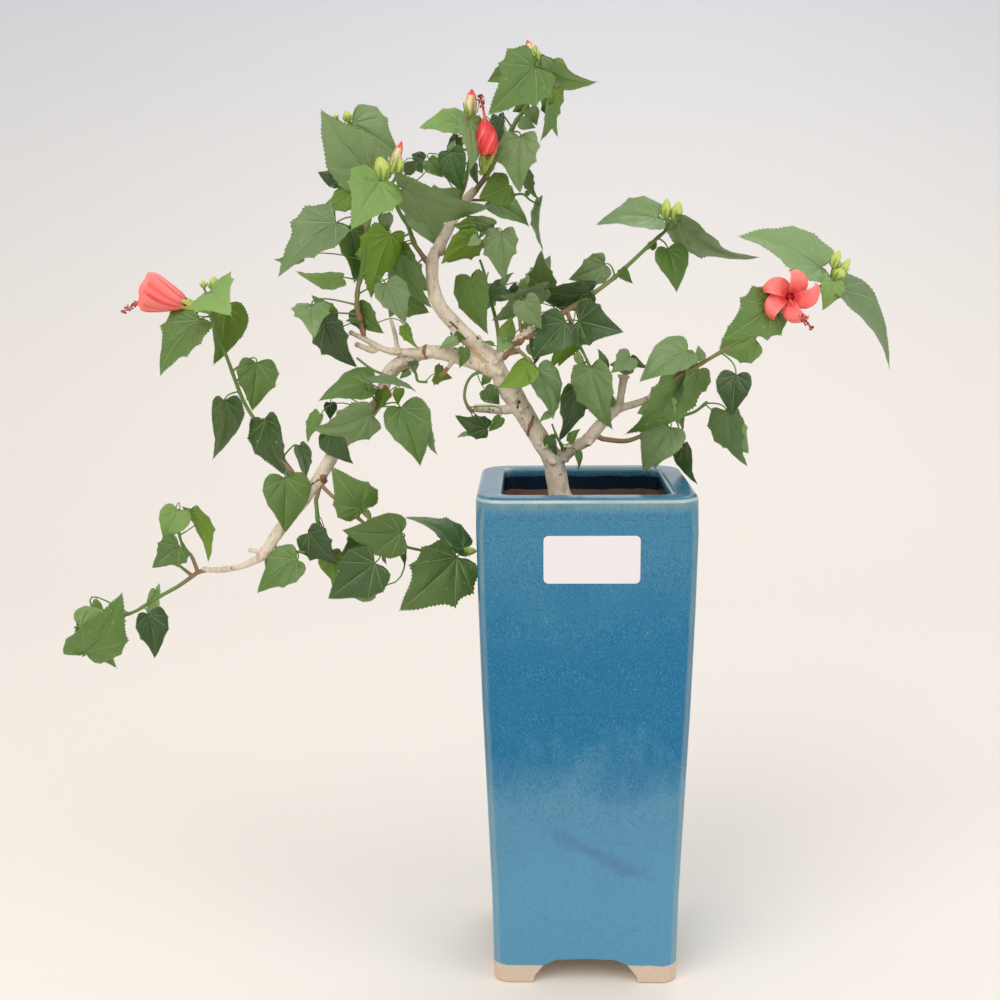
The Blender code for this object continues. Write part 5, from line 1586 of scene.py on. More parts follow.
def build_shoot_wood(name, laid, looks, finishes):
    """A shoot's stems with swollen joints, and its leaf and bud stalks."""
    heap = Heap()
    curves = []
    for number, (route, row) in enumerate(zip(laid["routes"], SHOOTS[name]["stems"])):
        if number == 0:
            route = [stop for stop in route_of(stem_stops(row)[:1])] + route
        curve = smooth_route(route, 5)
        curves.append(curve)
    starts = [leaf.start for leaf in laid["leaves"]] + [bud[0] for bud in laid["buds"]]
    for number, curve in enumerate(curves):
        knuckled = []
        for place, radius in curve:
            near = min((place - start).length for start in starts) if starts else 1.0
            knuckled.append((place, radius * (1.0 + 0.28 * max(1.0 - near / (1.6 * MM), 0.0))))
        brown_to = looks.brown_share if number == 0 else SIDE_BROWN
        brown_to = 1.0 if name in WOODY_SHOOTS else brown_to

        def bark_rule(share, brown_to=brown_to):
            if share < brown_to * 0.6:
                return finishes["twig"]
            return finishes["young"] if share < brown_to else finishes["green"]

        add_tube(heap, knuckled, 8, bark_rule, 0.7)
    for leaf in laid["leaves"]:
        foot, along = leaf.frame.foot, leaf.frame.along
        start = nearest_on(curves, leaf.start)
        inside = foot + along * (0.4 * MM)
        radius = STALK_WIDTH * MM / 2 * (0.9 if leaf.frame.length > 20 * MM else 0.65)
        add_tube(heap, stalk_curve(start, inside, along, radius, radius * 0.72), 6, finishes["stalk"])
    for start, foot, tip, _ in laid["buds"]:
        base = nearest_on(curves, start)
        arrive = (tip - foot).normalized()
        route = stalk_curve(base, foot.lerp(tip, 0.1), arrive, 0.62 * MM, 0.7 * MM)
        add_tube(heap, route, 6, finishes["green"])
    return heap.piece(name + "_stems", (name,))


def build_shoot_leaves(name, laid, patterns, finishes, number):
    """A shoot's leaves as one piece."""
    heap = Heap()
    draw = random.Random(SEED * 7 + number)
    for placed in laid["leaves"]:
        add_leaf(heap, patterns, finishes, placed, draw)
    return heap.piece(name + "_leaves", (name,))


def bowl(foot, way, length, profile, count, rib=0.0, twist=0.0):
    """Places and faces of a body turned about an axis; profile is share, radius."""
    way, side, across = axes_along(way)
    places = []
    for share, radius in profile:
        for k in range(count):
            turn = TURN * k / count + twist * share
            r = radius * (1.0 + rib * math.cos(5 * turn))
            out = side * (r * math.cos(turn)) + across * (r * math.sin(turn))
            places.append(foot + way * (share * length) + out)
    return places, tube_faces(len(profile), count)


# A bract's share of length, its lift and its half width.
BRACT_ROWS = ((0.0, 0.15, 0.06), (0.35, 0.52, 0.075), (0.7, 0.60, 0.06), (1.0, 0.66, 0.015))


def add_bracts(heap, finishes, foot, way, length, width, draw, flare=1.0):
    """Narrow bracts that stand round the foot of a calyx."""
    way, side, across = axes_along(way)
    for k in range(BRACTS):
        out = fan(side, across, TURN * k / BRACTS + draw.uniform(-0.2, 0.2))
        wide = way.cross(out)
        reach = length * draw.uniform(0.40, 0.62)
        rows = []
        for t, lift, half in BRACT_ROWS:
            middle = foot + way * (reach * t) + out * (width * lift * (1.0 + (flare - 1.0) * t))
            across_half = wide * (half * width)
            rows += [middle - across_half, middle + out * (0.04 * width), middle + across_half,
                     middle - out * (0.03 * width)]
        heap.add(rows, tube_faces(4, 4), finishes["bract"])


def add_bud(heap, finishes, foot, tip, width, red, draw):
    """A plump ribbed calyx with bracts at its foot, and petals that show at its tip."""
    way, _, _, length = axes_between(foot, tip)
    r = width / 2
    profile = ((0.0, r * 0.30), (0.07, r * 0.72), (0.24, r * 0.97), (0.44, r), (0.62, r * 0.90),
               (0.78, r * 0.69), (0.91, r * 0.38), (1.0, r * 0.08))
    places, faces = bowl(foot, way, length, profile, CALYX_SIDES, 0.055, 0.6)
    kinds = []
    for face in faces:
        row, column = divmod(min(face), CALYX_SIDES)
        kind = "calyx_pale" if row >= 3 or column % 3 == 0 else "calyx"
        if red and row + (column % 5 == 1) + (column > 9) >= 5:
            kind = "petal" if row + column % 3 >= 6 else "coral"
        elif red and row >= 2:
            kind = "bud_cream" if column % 3 else "calyx_pale"
        kinds.append(kind)
    heap.add(places, faces, [finishes[kind] for kind in kinds])
    add_bracts(heap, finishes, foot, way, length, width, draw)


def add_calyx(heap, finishes, foot, tip, width, draw):
    """A blossom's calyx: a slim ribbed funnel with pointed lobes, and bracts at its foot."""
    way, side, across, length = axes_between(foot, tip)
    profile = tuple((share, width / 2 * wide) for share, wide in
                    ((0.0, 0.18), (0.10, 0.38), (0.30, 0.52), (0.60, 0.68), (0.86, 0.80)))
    heap.add(*bowl(foot, way, length, profile, CALYX_SIDES, 0.05, 0.3), finishes["calyx_pale"])
    for lobe in range(PETALS):

        def point(s, t, lobe=lobe):
            out = fan(side, across, TURN * lobe / PETALS + (s - 0.5) * 1.35 * (1.0 - t) ** 0.8)
            reach = length * (0.62 + 0.62 * t)
            return foot + way * reach + out * (width / 2 * (0.74 + 0.32 * t)), out

        heap.add(*petal_sheet(point, 4, 5, 0.35 * MM), finishes["calyx"])
    add_bracts(heap, finishes, foot, way, length, width * 0.8, draw, 1.25)


def petal_sheet(point, columns, rows, thick):
    """A thin closed petal; point gives a place and its outward way for shares across and along."""
    places = []
    for face in (1, -1):
        for j in range(rows + 1):
            for i in range(columns + 1):
                place, out = point(i / columns, j / rows)
                places.append(place + out * (face * thick / 2))
    size = (columns + 1) * (rows + 1)
    faces = []
    for j in range(rows):
        for i in range(columns):
            a = j * (columns + 1) + i
            loop = [a, a + 1, a + columns + 2, a + columns + 1]
            faces.append(loop)
            faces.append([k + size for k in reversed(loop)])
    rim = list(range(columns + 1))
    rim += [j * (columns + 1) + columns for j in range(1, rows + 1)]
    rim += [rows * (columns + 1) + i for i in range(columns - 1, -1, -1)]
    rim += [j * (columns + 1) for j in range(rows - 1, 0, -1)]
    for k, a in enumerate(rim):
        b = rim[(k + 1) % len(rim)]
        faces.append([b, a, a + size, b + size])
    return places, faces


def add_furled(heap, finishes, foot, tip, first, last, kinds):
    """Five petals wrapped over one another, in a bell or in a pointed turned cap."""
    way, side, across, length = axes_between(foot, tip)
    pointed = last < first * 1.5
    columns, rows = 10, 9
    for petal in range(PETALS):

        def point(s, t, petal=petal):
            turn = TURN * petal / PETALS + (s - 0.5) * 2.5 + (2.1 if pointed else 0.8) * t
            if pointed:
                radius = last * 0.55 * math.sin(math.pi * (0.16 + 0.82 * t)) ** 0.8
                crown = 1.0 - 0.10 * (2 * s - 1) ** 2 * t
            else:
                radius = first * 0.36 + (last * 0.5 - first * 0.36) * min(t * 1.1, 1.0) ** 0.72
                crown = 1.0 - 0.06 * abs(2 * s - 1) ** 3 * t + 0.07 * math.sin(petal * 2.1 + 1.0) * t
                crown += 0.03 * math.sin(14 * s + petal) * t
            radius *= 0.86 + 0.17 * s + 0.04 * math.sin(9 * s + petal) * t
            out = fan(side, across, turn)
            return foot + way * (length * (t * crown * 1.02 - 0.04)) + out * radius, out

        places, faces = petal_sheet(point, columns, rows, PETAL_THICK * MM)
        used = []
        for number in range(len(faces)):
            row, column = divmod(number // 2, columns)
            pale = row >= rows - (not pointed) or column == columns - 1
            used.append(finishes[kinds[2 if pale else 0 if column in STREAKED_COLUMNS else 1]])
        heap.add(places, faces, used)


def add_column(heap, finishes, foot, tip, width, draw):
    """The stamen column: a thin tube with anthers on threads and a knob of styles."""
    way, side, across, length = axes_between(foot, tip)
    sag = side * (length * 0.05)

    def middle(t):
        return foot.lerp(tip, t) + sag * math.sin(math.pi * t)

    shares = [k / 8 for k in range(9)]
    add_tube(heap, [(middle(t), width / 2 * (1.0 - 0.35 * t)) for t in shares], 7, finishes["column"])
    for _ in range(ANTHERS):
        base = middle(draw.uniform(0.55, 0.98))
        out = fan(side, across, draw.uniform(0.0, 6.28))
        end = base + out * draw.uniform(0.7, 1.4) * MM + way * draw.uniform(0.1, 0.8) * MM
        add_tube(heap, [(base, 0.14 * MM), (end, 0.12 * MM)], 4, finishes["column"])
        profile = ((0.0, 0.20 * MM), (0.3, 0.45 * MM), (0.7, 0.45 * MM), (1.0, 0.15 * MM))
        heap.add(*bowl(end - out * (0.1 * MM), out, 0.8 * MM, profile, 6), finishes["anther"])
    for k in range(STYLES):
        out = fan(side, across, TURN * k / STYLES + draw.uniform(-0.2, 0.2))
        end = tip + way * draw.uniform(0.1, 0.7) * MM + out * draw.uniform(0.4, 0.9) * MM
        add_tube(heap, [(tip - way * MM, 0.16 * MM), (end, 0.12 * MM)], 4, finishes["column"])
        profile = ((0.0, 0.15 * MM), (0.35, 0.50 * MM), (0.7, 0.46 * MM), (1.0, 0.15 * MM))
        heap.add(*bowl(end, (end - tip).normalized(), 0.9 * MM, profile, 6), finishes["stigma"])


def add_open_bloom(heap, finishes, bloom, draw):
    """Five petals that wind out of a deep throat and curl back, over a green calyx."""
    start, centre, facing, reach, foot, tip = bloom
    centre, foot, tip = [nearer(place, OPEN_BLOOM_AHEAD) for place in (centre, foot, tip)]
    _, side, across = axes_along(facing)
    columns, rows = 12, 11
    for petal in range(PETALS):
        turn = TURN * petal / PETALS + 0.75 + draw.uniform(-0.08, 0.08)
        ruffle = draw.uniform(0.0, 6.28)
        curl = draw.uniform(0.8, 1.25)
        size = reach * draw.uniform(0.98, 1.10)

        def point(s, t, turn=turn, ruffle=ruffle, curl=curl, size=size):
            edge = 2 * s - 1
            out = fan(side, across, turn + edge * (0.95 - 0.74 * t) + 0.62 * t * t)
            reach_here = size * (0.07 + 1.18 * t - 0.10 * t ** 3 * edge ** 2)
            reach_here -= size * 0.14 * curl * max(t - 0.80, 0.0) / 0.20
            lift = -0.62 + 1.02 * math.sin(min(2.0 * t, 1.75)) - 0.55 * curl * t ** 4
            lift += 0.22 * edge * math.sin(math.pi * min(t * 1.1, 1.0))
            lift += 0.05 * math.sin(6 * s + ruffle) * t * t - 0.20 * edge ** 2 * t * t
            place = centre + out * reach_here + facing * (size * lift)
            return place, (facing - out * 0.5).normalized()

        places, faces = petal_sheet(point, columns, rows, PETAL_THICK * MM)
        used = []
        for number in range(len(faces)):
            row, column = divmod(number // 2, columns)
            margin = row >= rows - 1 or column in (0, columns - 1)
            kind = "coral_pale" if margin else "coral_deep" if row < 3 else "coral"
            used.append(finishes["throat" if row < 1 else kind])
        heap.add(places, faces, used)
    back = centre - facing * (reach * 0.62)
    add_calyx(heap, finishes, start, start.lerp(back, 0.66), 4.2 * MM, draw)
    profile = ((0.0, reach * 0.06), (0.4, reach * 0.18), (1.0, reach * 0.02))
    heap.add(*bowl(back, facing, reach * 0.14, profile, 10), finishes["throat"])
    add_column(heap, finishes, foot - facing * 3 * MM, tip, 1.5 * MM, draw)


def nearer(place, ahead):
    """A place moved towards the front, along the line to the eye."""
    return place + (EYE - place).normalized() * (ahead * MM)


def build_shoot_blossoms(name, laid, finishes, number):
    """A shoot's buds and blossoms as one piece, if it bears any."""
    heap = Heap()
    draw = random.Random(SEED * 11 + number)
    ahead = BLOOM_AHEAD.get(name, 0.0)
    rows = SHOOTS[name].get("buds", ())
    for row, (_, foot, tip, width) in zip(rows, laid["buds"]):
        if any((tip - bloom[0]).length < 3 * MM for bloom in laid["furled"]):
            add_calyx(heap, finishes, foot, nearer(tip, ahead), width, draw)
        else:
            add_bud(heap, finishes, foot, tip, width, row[:2] in RED_TIPPED, draw)
    for foot, tip, first, last in laid["furled"]:
        foot, tip = nearer(foot, ahead), nearer(tip, ahead)
        if first == last:
            add_column(heap, finishes, foot.lerp(tip, -0.3), tip, first * 0.8, draw)
        else:
            kinds = RED_KINDS if name == "crown_top" else CORAL_KINDS
            add_furled(heap, finishes, foot, tip, first, last, kinds)
    if laid["open"]:
        add_open_bloom(heap, finishes, laid["open"], draw)
    if heap.places:
        return heap.piece(name + "_blossoms", (name,))
    return None


# Bumps on the wood: square, size in millimetres.
KNOBS = (
    (451, 336, 2.2), (478, 338, 2.0), (564, 446, 2.4), (590, 447, 2.0), (530, 328, 1.9),
    (327, 483, 3.0), (324, 476, 2.2), (388, 395, 2.6), (386, 388, 2.0), (428, 352, 2.6),
    (314, 473, 1.8), (262, 549, 1.6), (503, 353, 2.2), (515, 400, 1.8), (545, 447, 1.6),
    (398, 352, 2.0), (495, 362, 2.6), (521, 409, 2.0), (553, 462, 2.2), (487, 409, 2.0),
    (512, 347, 2.3), (520, 341, 2.6), (528, 336, 2.2), (535, 334, 2.4), (541, 331, 1.8),
    (500, 372, 3.0), (620, 376, 1.7), (627, 377, 1.6), (566, 460, 1.8), (430, 300, 1.7),
)
# Short snags on the wood, as stops of a limb.
SNAGS = (
    ((368, 341, -14, 3.0), (358, 336, -14, 2.8), (350, 332, -14, 2.9)),
    ((374, 351, -13, 3.4), (365, 348, -14, 3.0), (356, 344, -14, 3.1)),
    ((262, 555, -20, 3.4), (256, 551, -21, 2.8), (249, 550, -21, 2.6)),
    ((500, 356, -8, 4.6), (510, 352, -9, 4.3), (519, 350, -9, 4.4)),
    ((454, 358, -12, 3.2), (448, 368, -13, 2.4), (441, 376, -14, 2.2)),
)
# Marks on the wood: kind, half width in millimetres, squares it runs through.
MARKS = (
    ("rust", 1.25, (533, 417), (529, 430), (526, 445)),
    ("wound", 0.5, (529, 428), (527, 441)),
    ("wound", 0.8, (450, 322), (454, 325), (457, 329)),
    ("heal", 2.1, (466, 347), (474, 352), (483, 360)),
    ("rust", 1.3, (425, 346), (424, 352), (427, 360)),
    ("wound", 0.6, (306, 488), (312, 484), (319, 480)),
    ("rust", 2.6, (323, 478), (326, 485), (330, 490)),
    ("rust", 1.8, (385, 387), (388, 396), (391, 404)),
    ("wound", 1.8, (619, 374), (624, 374), (629, 375)),
    ("heal", 1.9, (476, 191), (475, 190)),
    ("wound", 1.4, (562, 445), (565, 449)),
    ("wound", 0.8, (519, 402), (517, 408)),
    ("heal", 1.6, (476, 407), (475, 409)),
    ("rust", 1.9, (511, 346), (521, 341), (531, 336), (540, 331)),
    ("rust", 1.4, (515, 352), (519, 350)),
    ("rust", 1.5, (446, 369), (441, 376)),
    ("wound", 1.2, (451, 334), (449, 337)),
    ("wound", 0.8, (477, 337), (479, 339)),
    ("wound", 1.0, (588, 446), (592, 449)),
    ("heal", 1.5, (351, 332), (350, 333)),
    ("heal", 1.5, (357, 344), (356, 345)),
)
# How far a mark stands out of the wood, in millimetres.
MARK_RISE = {"wound": -0.30, "heal": 0.05, "rust": 0.25}
# Sides of a limb's tube, and the grid in metres that joins tubes and knobs into one.
WOOD_SIDES = 14
WOOD_VOXEL = 0.00055
# Height of folds, lumps and rings as shares of the radius, or of this many millimetres.
FOLD_RISE = 0.075
LUMP_RISE = 0.13
RING_RISE = 0.16
ROUGH_RADIUS = 3.2


def build_wood(finishes):
    """Trunk, boughs and stubs grown into one, with knobs, cracks and old wounds."""
    routes = []
    for stops in [TRUNK] + list(LIMBS.values()) + list(SNAGS):
        route = route_of(stops)
        if routes:
            joint = nearest_on(routes, route[0][0])
            if (joint - route[0][0]).length > 0.5 * MM:
                route = [(joint, route[0][1])] + route
        else:
            foot = route[0][0].copy()
            foot.z = (POT_HEIGHT - SOIL_BELOW_RIM - 1.5) * MM
            route = [(foot, route[0][1] * 1.06)] + route
        routes.append(smooth_route(route, 4))
    heap = Heap()
    for route in routes:
        add_tube(heap, route, WOOD_SIDES, None, 0.72)
    mesh = bpy.data.meshes.new("wood")
    mesh.from_pydata(heap.places, [], heap.faces)
    wood = stand("trunk_and_boughs", mesh)
    bare = BVHTree.FromPolygons(heap.places, heap.faces)
    knobs = [wood]
    for number, (u, v, size) in enumerate(KNOBS):
        hit = bare.ray_cast(EYE, squares_ray(u, v))[0]
        if hit is None:
            hit = bare.find_nearest(at(u, v, -8.0))[0]
        pick_only(wood)
        bpy.ops.mesh.primitive_ico_sphere_add(subdivisions=2, radius=size * MM, location=hit)
        knob = bpy.context.object
        knob.scale = (1.15, 0.7, 0.95)
        knob.rotation_euler = (0.3 * number, 0.2, 0.7 * number)
        knobs.append(knob)
    pick_only(*knobs)
    bpy.ops.object.join()
    apply_modifier(wood, "REMESH", mode="VOXEL", voxel_size=WOOD_VOXEL)
    apply_modifier(wood, "SMOOTH", factor=0.6, iterations=5)
    roughen(wood, routes)
    cover(wood, finishes["bark"])
    for kind in MARK_RISE:
        wood.data.materials.append(finishes[kind])
    mark_wood(wood, ("bark", *MARK_RISE))
    smooth(wood)
    return settle(wood, ("trunk",) + tuple(LIMBS))


def roughen(wood, routes):
    """Folds that run along the wood, broad lumps, and rings round it."""
    stops = [stop + (way,) for route in routes for stop, way in zip(route, directions(route))]
    tree = KDTree(len(stops))
    for number, stop in enumerate(stops):
        tree.insert(stop[0], number)
    tree.balance()
    for vert, normal in zip(wood.data.vertices, [n.vector.copy() for n in wood.data.vertex_normals]):
        _, radius, way = stops[tree.find(vert.co)[1]]
        offset = vert.co - SHIFT
        along = way * offset.dot(way)
        grainy = (offset - along) * 620.0 + along * 110.0
        fold = noise.noise(grainy) + 0.5 * noise.noise(grainy * 2.3)
        lump = noise.noise(offset * 150.0)
        ring_mark = max(noise.noise(along * 420.0 + way * 3.0) - 0.30, 0.0)
        depth = min(radius, ROUGH_RADIUS * MM)
        vert.co += normal * (depth * (FOLD_RISE * fold + LUMP_RISE * lump + RING_RISE * ring_mark))


def mark_wood(wood, order):
    """Give the faces under each mark its own finish and sink them a little."""
    mesh = wood.data
    places = [vert.co.copy() for vert in mesh.vertices]
    faces = BVHTree.FromPolygons(places, [polygon.vertices[:] for polygon in mesh.polygons])
    centres = KDTree(len(mesh.polygons))
    for polygon in mesh.polygons:
        centres.insert(polygon.center, polygon.index)
    centres.balance()
    for kind, half, *squares in MARKS:
        number = order.index(kind)
        for (u, v), (end_u, end_v) in zip(squares, squares[1:]):
            for step in range(9):
                t = step / 8
                ray = squares_ray(u + (end_u - u) * t, v + (end_v - v) * t)
                hit = faces.ray_cast(EYE, ray)[0]
                if hit is None:
                    continue
                reach = half * (0.75 + 0.5 * noise.noise(hit * 900.0)) * MM
                for _, index, _ in centres.find_range(hit, reach):
                    mesh.polygons[index].material_index = number
    moved = {}
    for polygon in mesh.polygons:
        if polygon.material_index:
            for index in polygon.vertices:
                moved[index] = order[polygon.material_index]
    normals = [n.vector.copy() for n in mesh.vertex_normals]
    for index, kind in moved.items():
        vert = mesh.vertices[index]
        rough = noise.noise(vert.co * 1500.0)
        vert.co += normals[index] * (MARK_RISE[kind] + 0.25 * rough) * MM


# Metres within which a corner counts as lying at a height or at an edge.
NEAR = 1e-4
LEVEL = 1e-5


def edit(item):
    """Enter edit mode on one piece with nothing selected; gives its bmesh."""
    pick_only(item)
    bpy.ops.object.mode_set(mode="EDIT")
    bpy.ops.mesh.select_all(action="DESELECT")
    return bmesh.from_edit_mesh(item.data)


def choose(item, faces=None, edges=None):
    """In edit mode, select just the faces or edges that pass a test."""
    bpy.ops.mesh.select_all(action="DESELECT")
    bpy.ops.mesh.select_mode(type="FACE" if faces else "EDGE")
    bm = bmesh.from_edit_mesh(item.data)
    for part in (bm.faces if faces else bm.edges):
        part.select_set((faces or edges)(part))
    bm.select_flush_mode()
    bmesh.update_edit_mesh(item.data)
    return bm


def push(x, y, z):
    """In edit mode, extrude what is selected."""
    bpy.ops.mesh.extrude_region_move(TRANSFORM_OT_translate={"value": (x, y, z)})


def end_edit():
    """Turn every face outwards and leave edit mode."""
    bpy.ops.mesh.select_all(action="SELECT")
    bpy.ops.mesh.normals_make_consistent(inside=False)
    bpy.ops.object.mode_set(mode="OBJECT")


def reshape_ring(verts, old, new):
    """Move a rounded square's places from one half width and corner to another."""
    for vert in verts:
        x = vert.co.x - SHIFT.x
        y = vert.co.y - SHIFT.y
        middle = (old[0] - old[1]) * MM
        turn = math.atan2(max(abs(y) - middle, 0.0), max(abs(x) - middle, 0.0))
        reach_x = (new[0] - new[1] + new[1] * math.cos(turn)) * MM
        reach_y = (new[0] - new[1] + new[1] * math.sin(turn)) * MM
        vert.co.x = SHIFT.x + math.copysign(reach_x, x)
        vert.co.y = SHIFT.y + math.copysign(reach_y, y)


def arch_cutter(name, along_x):
    """A low flat-topped arch that runs right through under the pot."""
    inner = POT_BOTTOM / 2 - FOOT_WIDTH
    half = (
        (inner + 1.5, -5.0), (inner, FOOT_HEIGHT * 0.25), (inner - FOOT_SLOPE * 0.55, FOOT_HEIGHT * 0.72),
        (inner - FOOT_SLOPE * 1.3, FOOT_HEIGHT * 0.95), (0.0, FOOT_HEIGHT),
    )
    profile = list(half) + [(-a, b) for a, b in reversed(half[:-1])]
    rings = []
    for end in (-POT_TOP, POT_TOP):
        spots = [(end, a, b) if along_x else (a, end, b) for a, b in profile]
        rings.append([Vector(spot) * MM + SHIFT for spot in spots])
    mesh = bpy.data.meshes.new(name)
    loft(rings).to_mesh(mesh)
    return stand(name, mesh)


def build_pot(finish):
    """The pot: a block tapered, rounded, hollowed from the rim and cut away to four feet."""
    high = POT_HEIGHT * MM
    pot = block_out(bpy.ops.mesh.primitive_cube_add, "glazed_pot", scale=(POT_TOP * MM, POT_TOP * MM, high),
                    size=1.0, location=(SHIFT.x, SHIFT.y, high / 2))
    edit(pot)
    centre = (SHIFT.x, SHIFT.y, 0.0)
    choose(pot, faces=lambda f: f.normal.z < -0.9)
    taper = POT_BOTTOM / POT_TOP
    bpy.ops.transform.resize(value=(taper, taper, 1.0), center_override=centre)
    choose(pot, edges=lambda e: abs(e.verts[0].co.z - e.verts[1].co.z) > high / 2)
    bpy.ops.mesh.bevel(offset=BODY_CORNER * MM, segments=8, affect="EDGES")
    half = POT_TOP / 2
    for share in BOWED_SHARES:
        bpy.ops.mesh.select_all(action="SELECT")
        bpy.ops.mesh.bisect(plane_co=(0.0, 0.0, high * share), plane_no=(0.0, 0.0, 1.0))
        ring = [v for v in bmesh.from_edit_mesh(pot.data).verts if abs(v.co.z - high * share) < LEVEL]
        straight = POT_BOTTOM / 2 + (half - POT_BOTTOM / 2) * share
        reshape_ring(ring, (straight, BODY_CORNER), (pot_half(POT_HEIGHT * share), BODY_CORNER))
    bm = bmesh.from_edit_mesh(pot.data)
    top = [v for v in bm.verts if v.co.z > high - LEVEL]
    reshape_ring(top, (half, BODY_CORNER), (half, RIM_CORNER))
    bmesh.update_edit_mesh(pot.data)
    choose(pot, faces=lambda f: f.normal.z > 0.9 and f.calc_center_median().z > high - LEVEL)
    bpy.ops.mesh.inset(thickness=RIM_ROUND * MM)
    bm = bmesh.from_edit_mesh(pot.data)
    lip = [v for v in bm.verts if v.select]
    reshape_ring(lip, (half - RIM_ROUND, RIM_CORNER - RIM_ROUND), (half - RIM_WALL, CAVITY_CORNER))
    bmesh.update_edit_mesh(pot.data)
    push(0.0, 0.0, (CAVITY_FLOOR - POT_HEIGHT) * MM)
    narrow = CAVITY_FLOOR_WIDTH / 2 / (half - RIM_WALL)
    bpy.ops.transform.resize(value=(narrow, narrow, 1.0), center_override=centre)
    choose(pot, edges=lambda e: min(v.co.z for v in e.verts) > high - LEVEL
           and any(abs(f.normal.z) < 0.7 for f in e.link_faces))
    bpy.ops.mesh.bevel(offset=RIM_ROUND * MM, segments=5, affect="EDGES")
    end_edit()
    for name, along_x in (("arch_x", True), ("arch_y", False)):
        cutter = arch_cutter(name, along_x)
        apply_modifier(pot, "BOOLEAN", operation="DIFFERENCE", solver="EXACT", object=cutter)
        bpy.data.objects.remove(cutter)
    apply_modifier(pot, "BEVEL", width=FOOT_ROUND * MM, segments=3,
                   limit_method="ANGLE", angle_limit=math.radians(38))
    pick_only(pot)
    bpy.ops.object.shade_smooth_by_angle(angle=math.radians(35))
    apply_modifier(pot, "WEIGHTED_NORMAL", keep_sharp=True)
    cover(pot, finish)
    return settle(pot, ("pot",))


def build_soil(finish, grit_finish):
    """Potting soil: an uneven top, and grit scattered over it."""
    half = cavity_half(POT_HEIGHT - SOIL_BELOW_RIM) - GAP
    top = (POT_HEIGHT - SOIL_BELOW_RIM) * MM
    soil = block_out(bpy.ops.mesh.primitive_grid_add, "potting_soil", x_subdivisions=80, y_subdivisions=80,
                     size=half * 2 * MM, location=(SHIFT.x, SHIFT.y, top - SOIL_THICK * MM))
    edit(soil)
    bpy.ops.mesh.select_all(action="SELECT")
    push(0.0, 0.0, SOIL_THICK * MM)
    end_edit()
    corner = (CAVITY_CORNER - GAP) * MM
    middle = half * MM - corner
    draw = random.Random(SEED)
    for vert in soil.data.vertices:
        x = vert.co.x - SHIFT.x
        y = vert.co.y - SHIFT.y
        out_x = abs(x) - middle
        out_y = abs(y) - middle
        if out_x > 0 and out_y > 0 and math.hypot(out_x, out_y) > corner:
            pull = corner / math.hypot(out_x, out_y)
            x = math.copysign(middle + out_x * pull, x)
            y = math.copysign(middle + out_y * pull, y)
            vert.co.x = SHIFT.x + x
            vert.co.y = SHIFT.y + y
        if vert.co.z > top - 0.01:
            spot = Vector((x, y, 0.0))
            rise = noise.noise(spot * 90.0) * 1.6 + noise.noise(spot * 330.0) * 1.1
            rise += noise.noise(spot * 900.0) * 0.5 + 1.2 * math.exp(-(spot.length / 0.016) ** 2)
            vert.co.z = top + rise * MM
    heap = Heap()
    for number in range(GRIT_CRUMBS):
        spot = Vector((draw.uniform(-1, 1), draw.uniform(-1, 1), 0.0)) * (half - 1.6) * MM
        size = draw.uniform(0.5, 1.5) * MM
        way = Vector((draw.uniform(-1, 1), draw.uniform(-1, 1), draw.uniform(0.2, 1))).normalized()
        profile = ((0.0, size * 0.35), (0.3, size * 0.9), (0.7, size * 0.8), (1.0, size * 0.25))
        foot = spot + SHIFT + Vector((0.0, 0.0, top + noise.noise(spot * 90.0) * 1.6 * MM - size * 0.2))
        heap.add(*bowl(foot, way, size * 1.5, profile, 6, 0.16), finish if number % 4 else grit_finish)
    smooth(soil)
    cover(soil, finish)
    heap.piece("soil_grit")
    return settle(soil, ("soil",))


def build_label(finish):
    """A blank rounded paper label that lies on the pot's front."""
    low, high = at(543.5, 583.0, -56.0), at(640.5, 535.0, -56.0)
    middle = (low + high) / 2
    height = middle.z / MM
    slope = math.atan2(pot_half(height + 10.0) - pot_half(height - 10.0), 20.0)
    middle.y = SHIFT.y - pot_half(height) * MM - 0.05 * MM
    label = block_out(bpy.ops.mesh.primitive_plane_add, "blank_label", (high.x - low.x, high.z - low.z, 1.0),
                      (math.pi / 2 + slope, 0.0, 0.0), size=1.0, location=middle)
    edit(label)
    bpy.ops.mesh.select_all(action="SELECT")
    bpy.ops.mesh.bevel(offset=2.6 * MM, segments=6, affect="VERTICES")
    bpy.ops.mesh.select_all(action="SELECT")
    push(0.0, -LABEL_THICK * MM, 0.0)
    end_edit()
    cover(label, finish)
    return settle(label)


def colour_setting(name, text, colour):
    """A colour the panel offers, given in 0 to 255 steps."""
    return bpy.props.FloatVectorProperty(
        name=name, description=text, default=paint(*colour), subtype="COLOR", size=3, min=0.0, max=1.0)


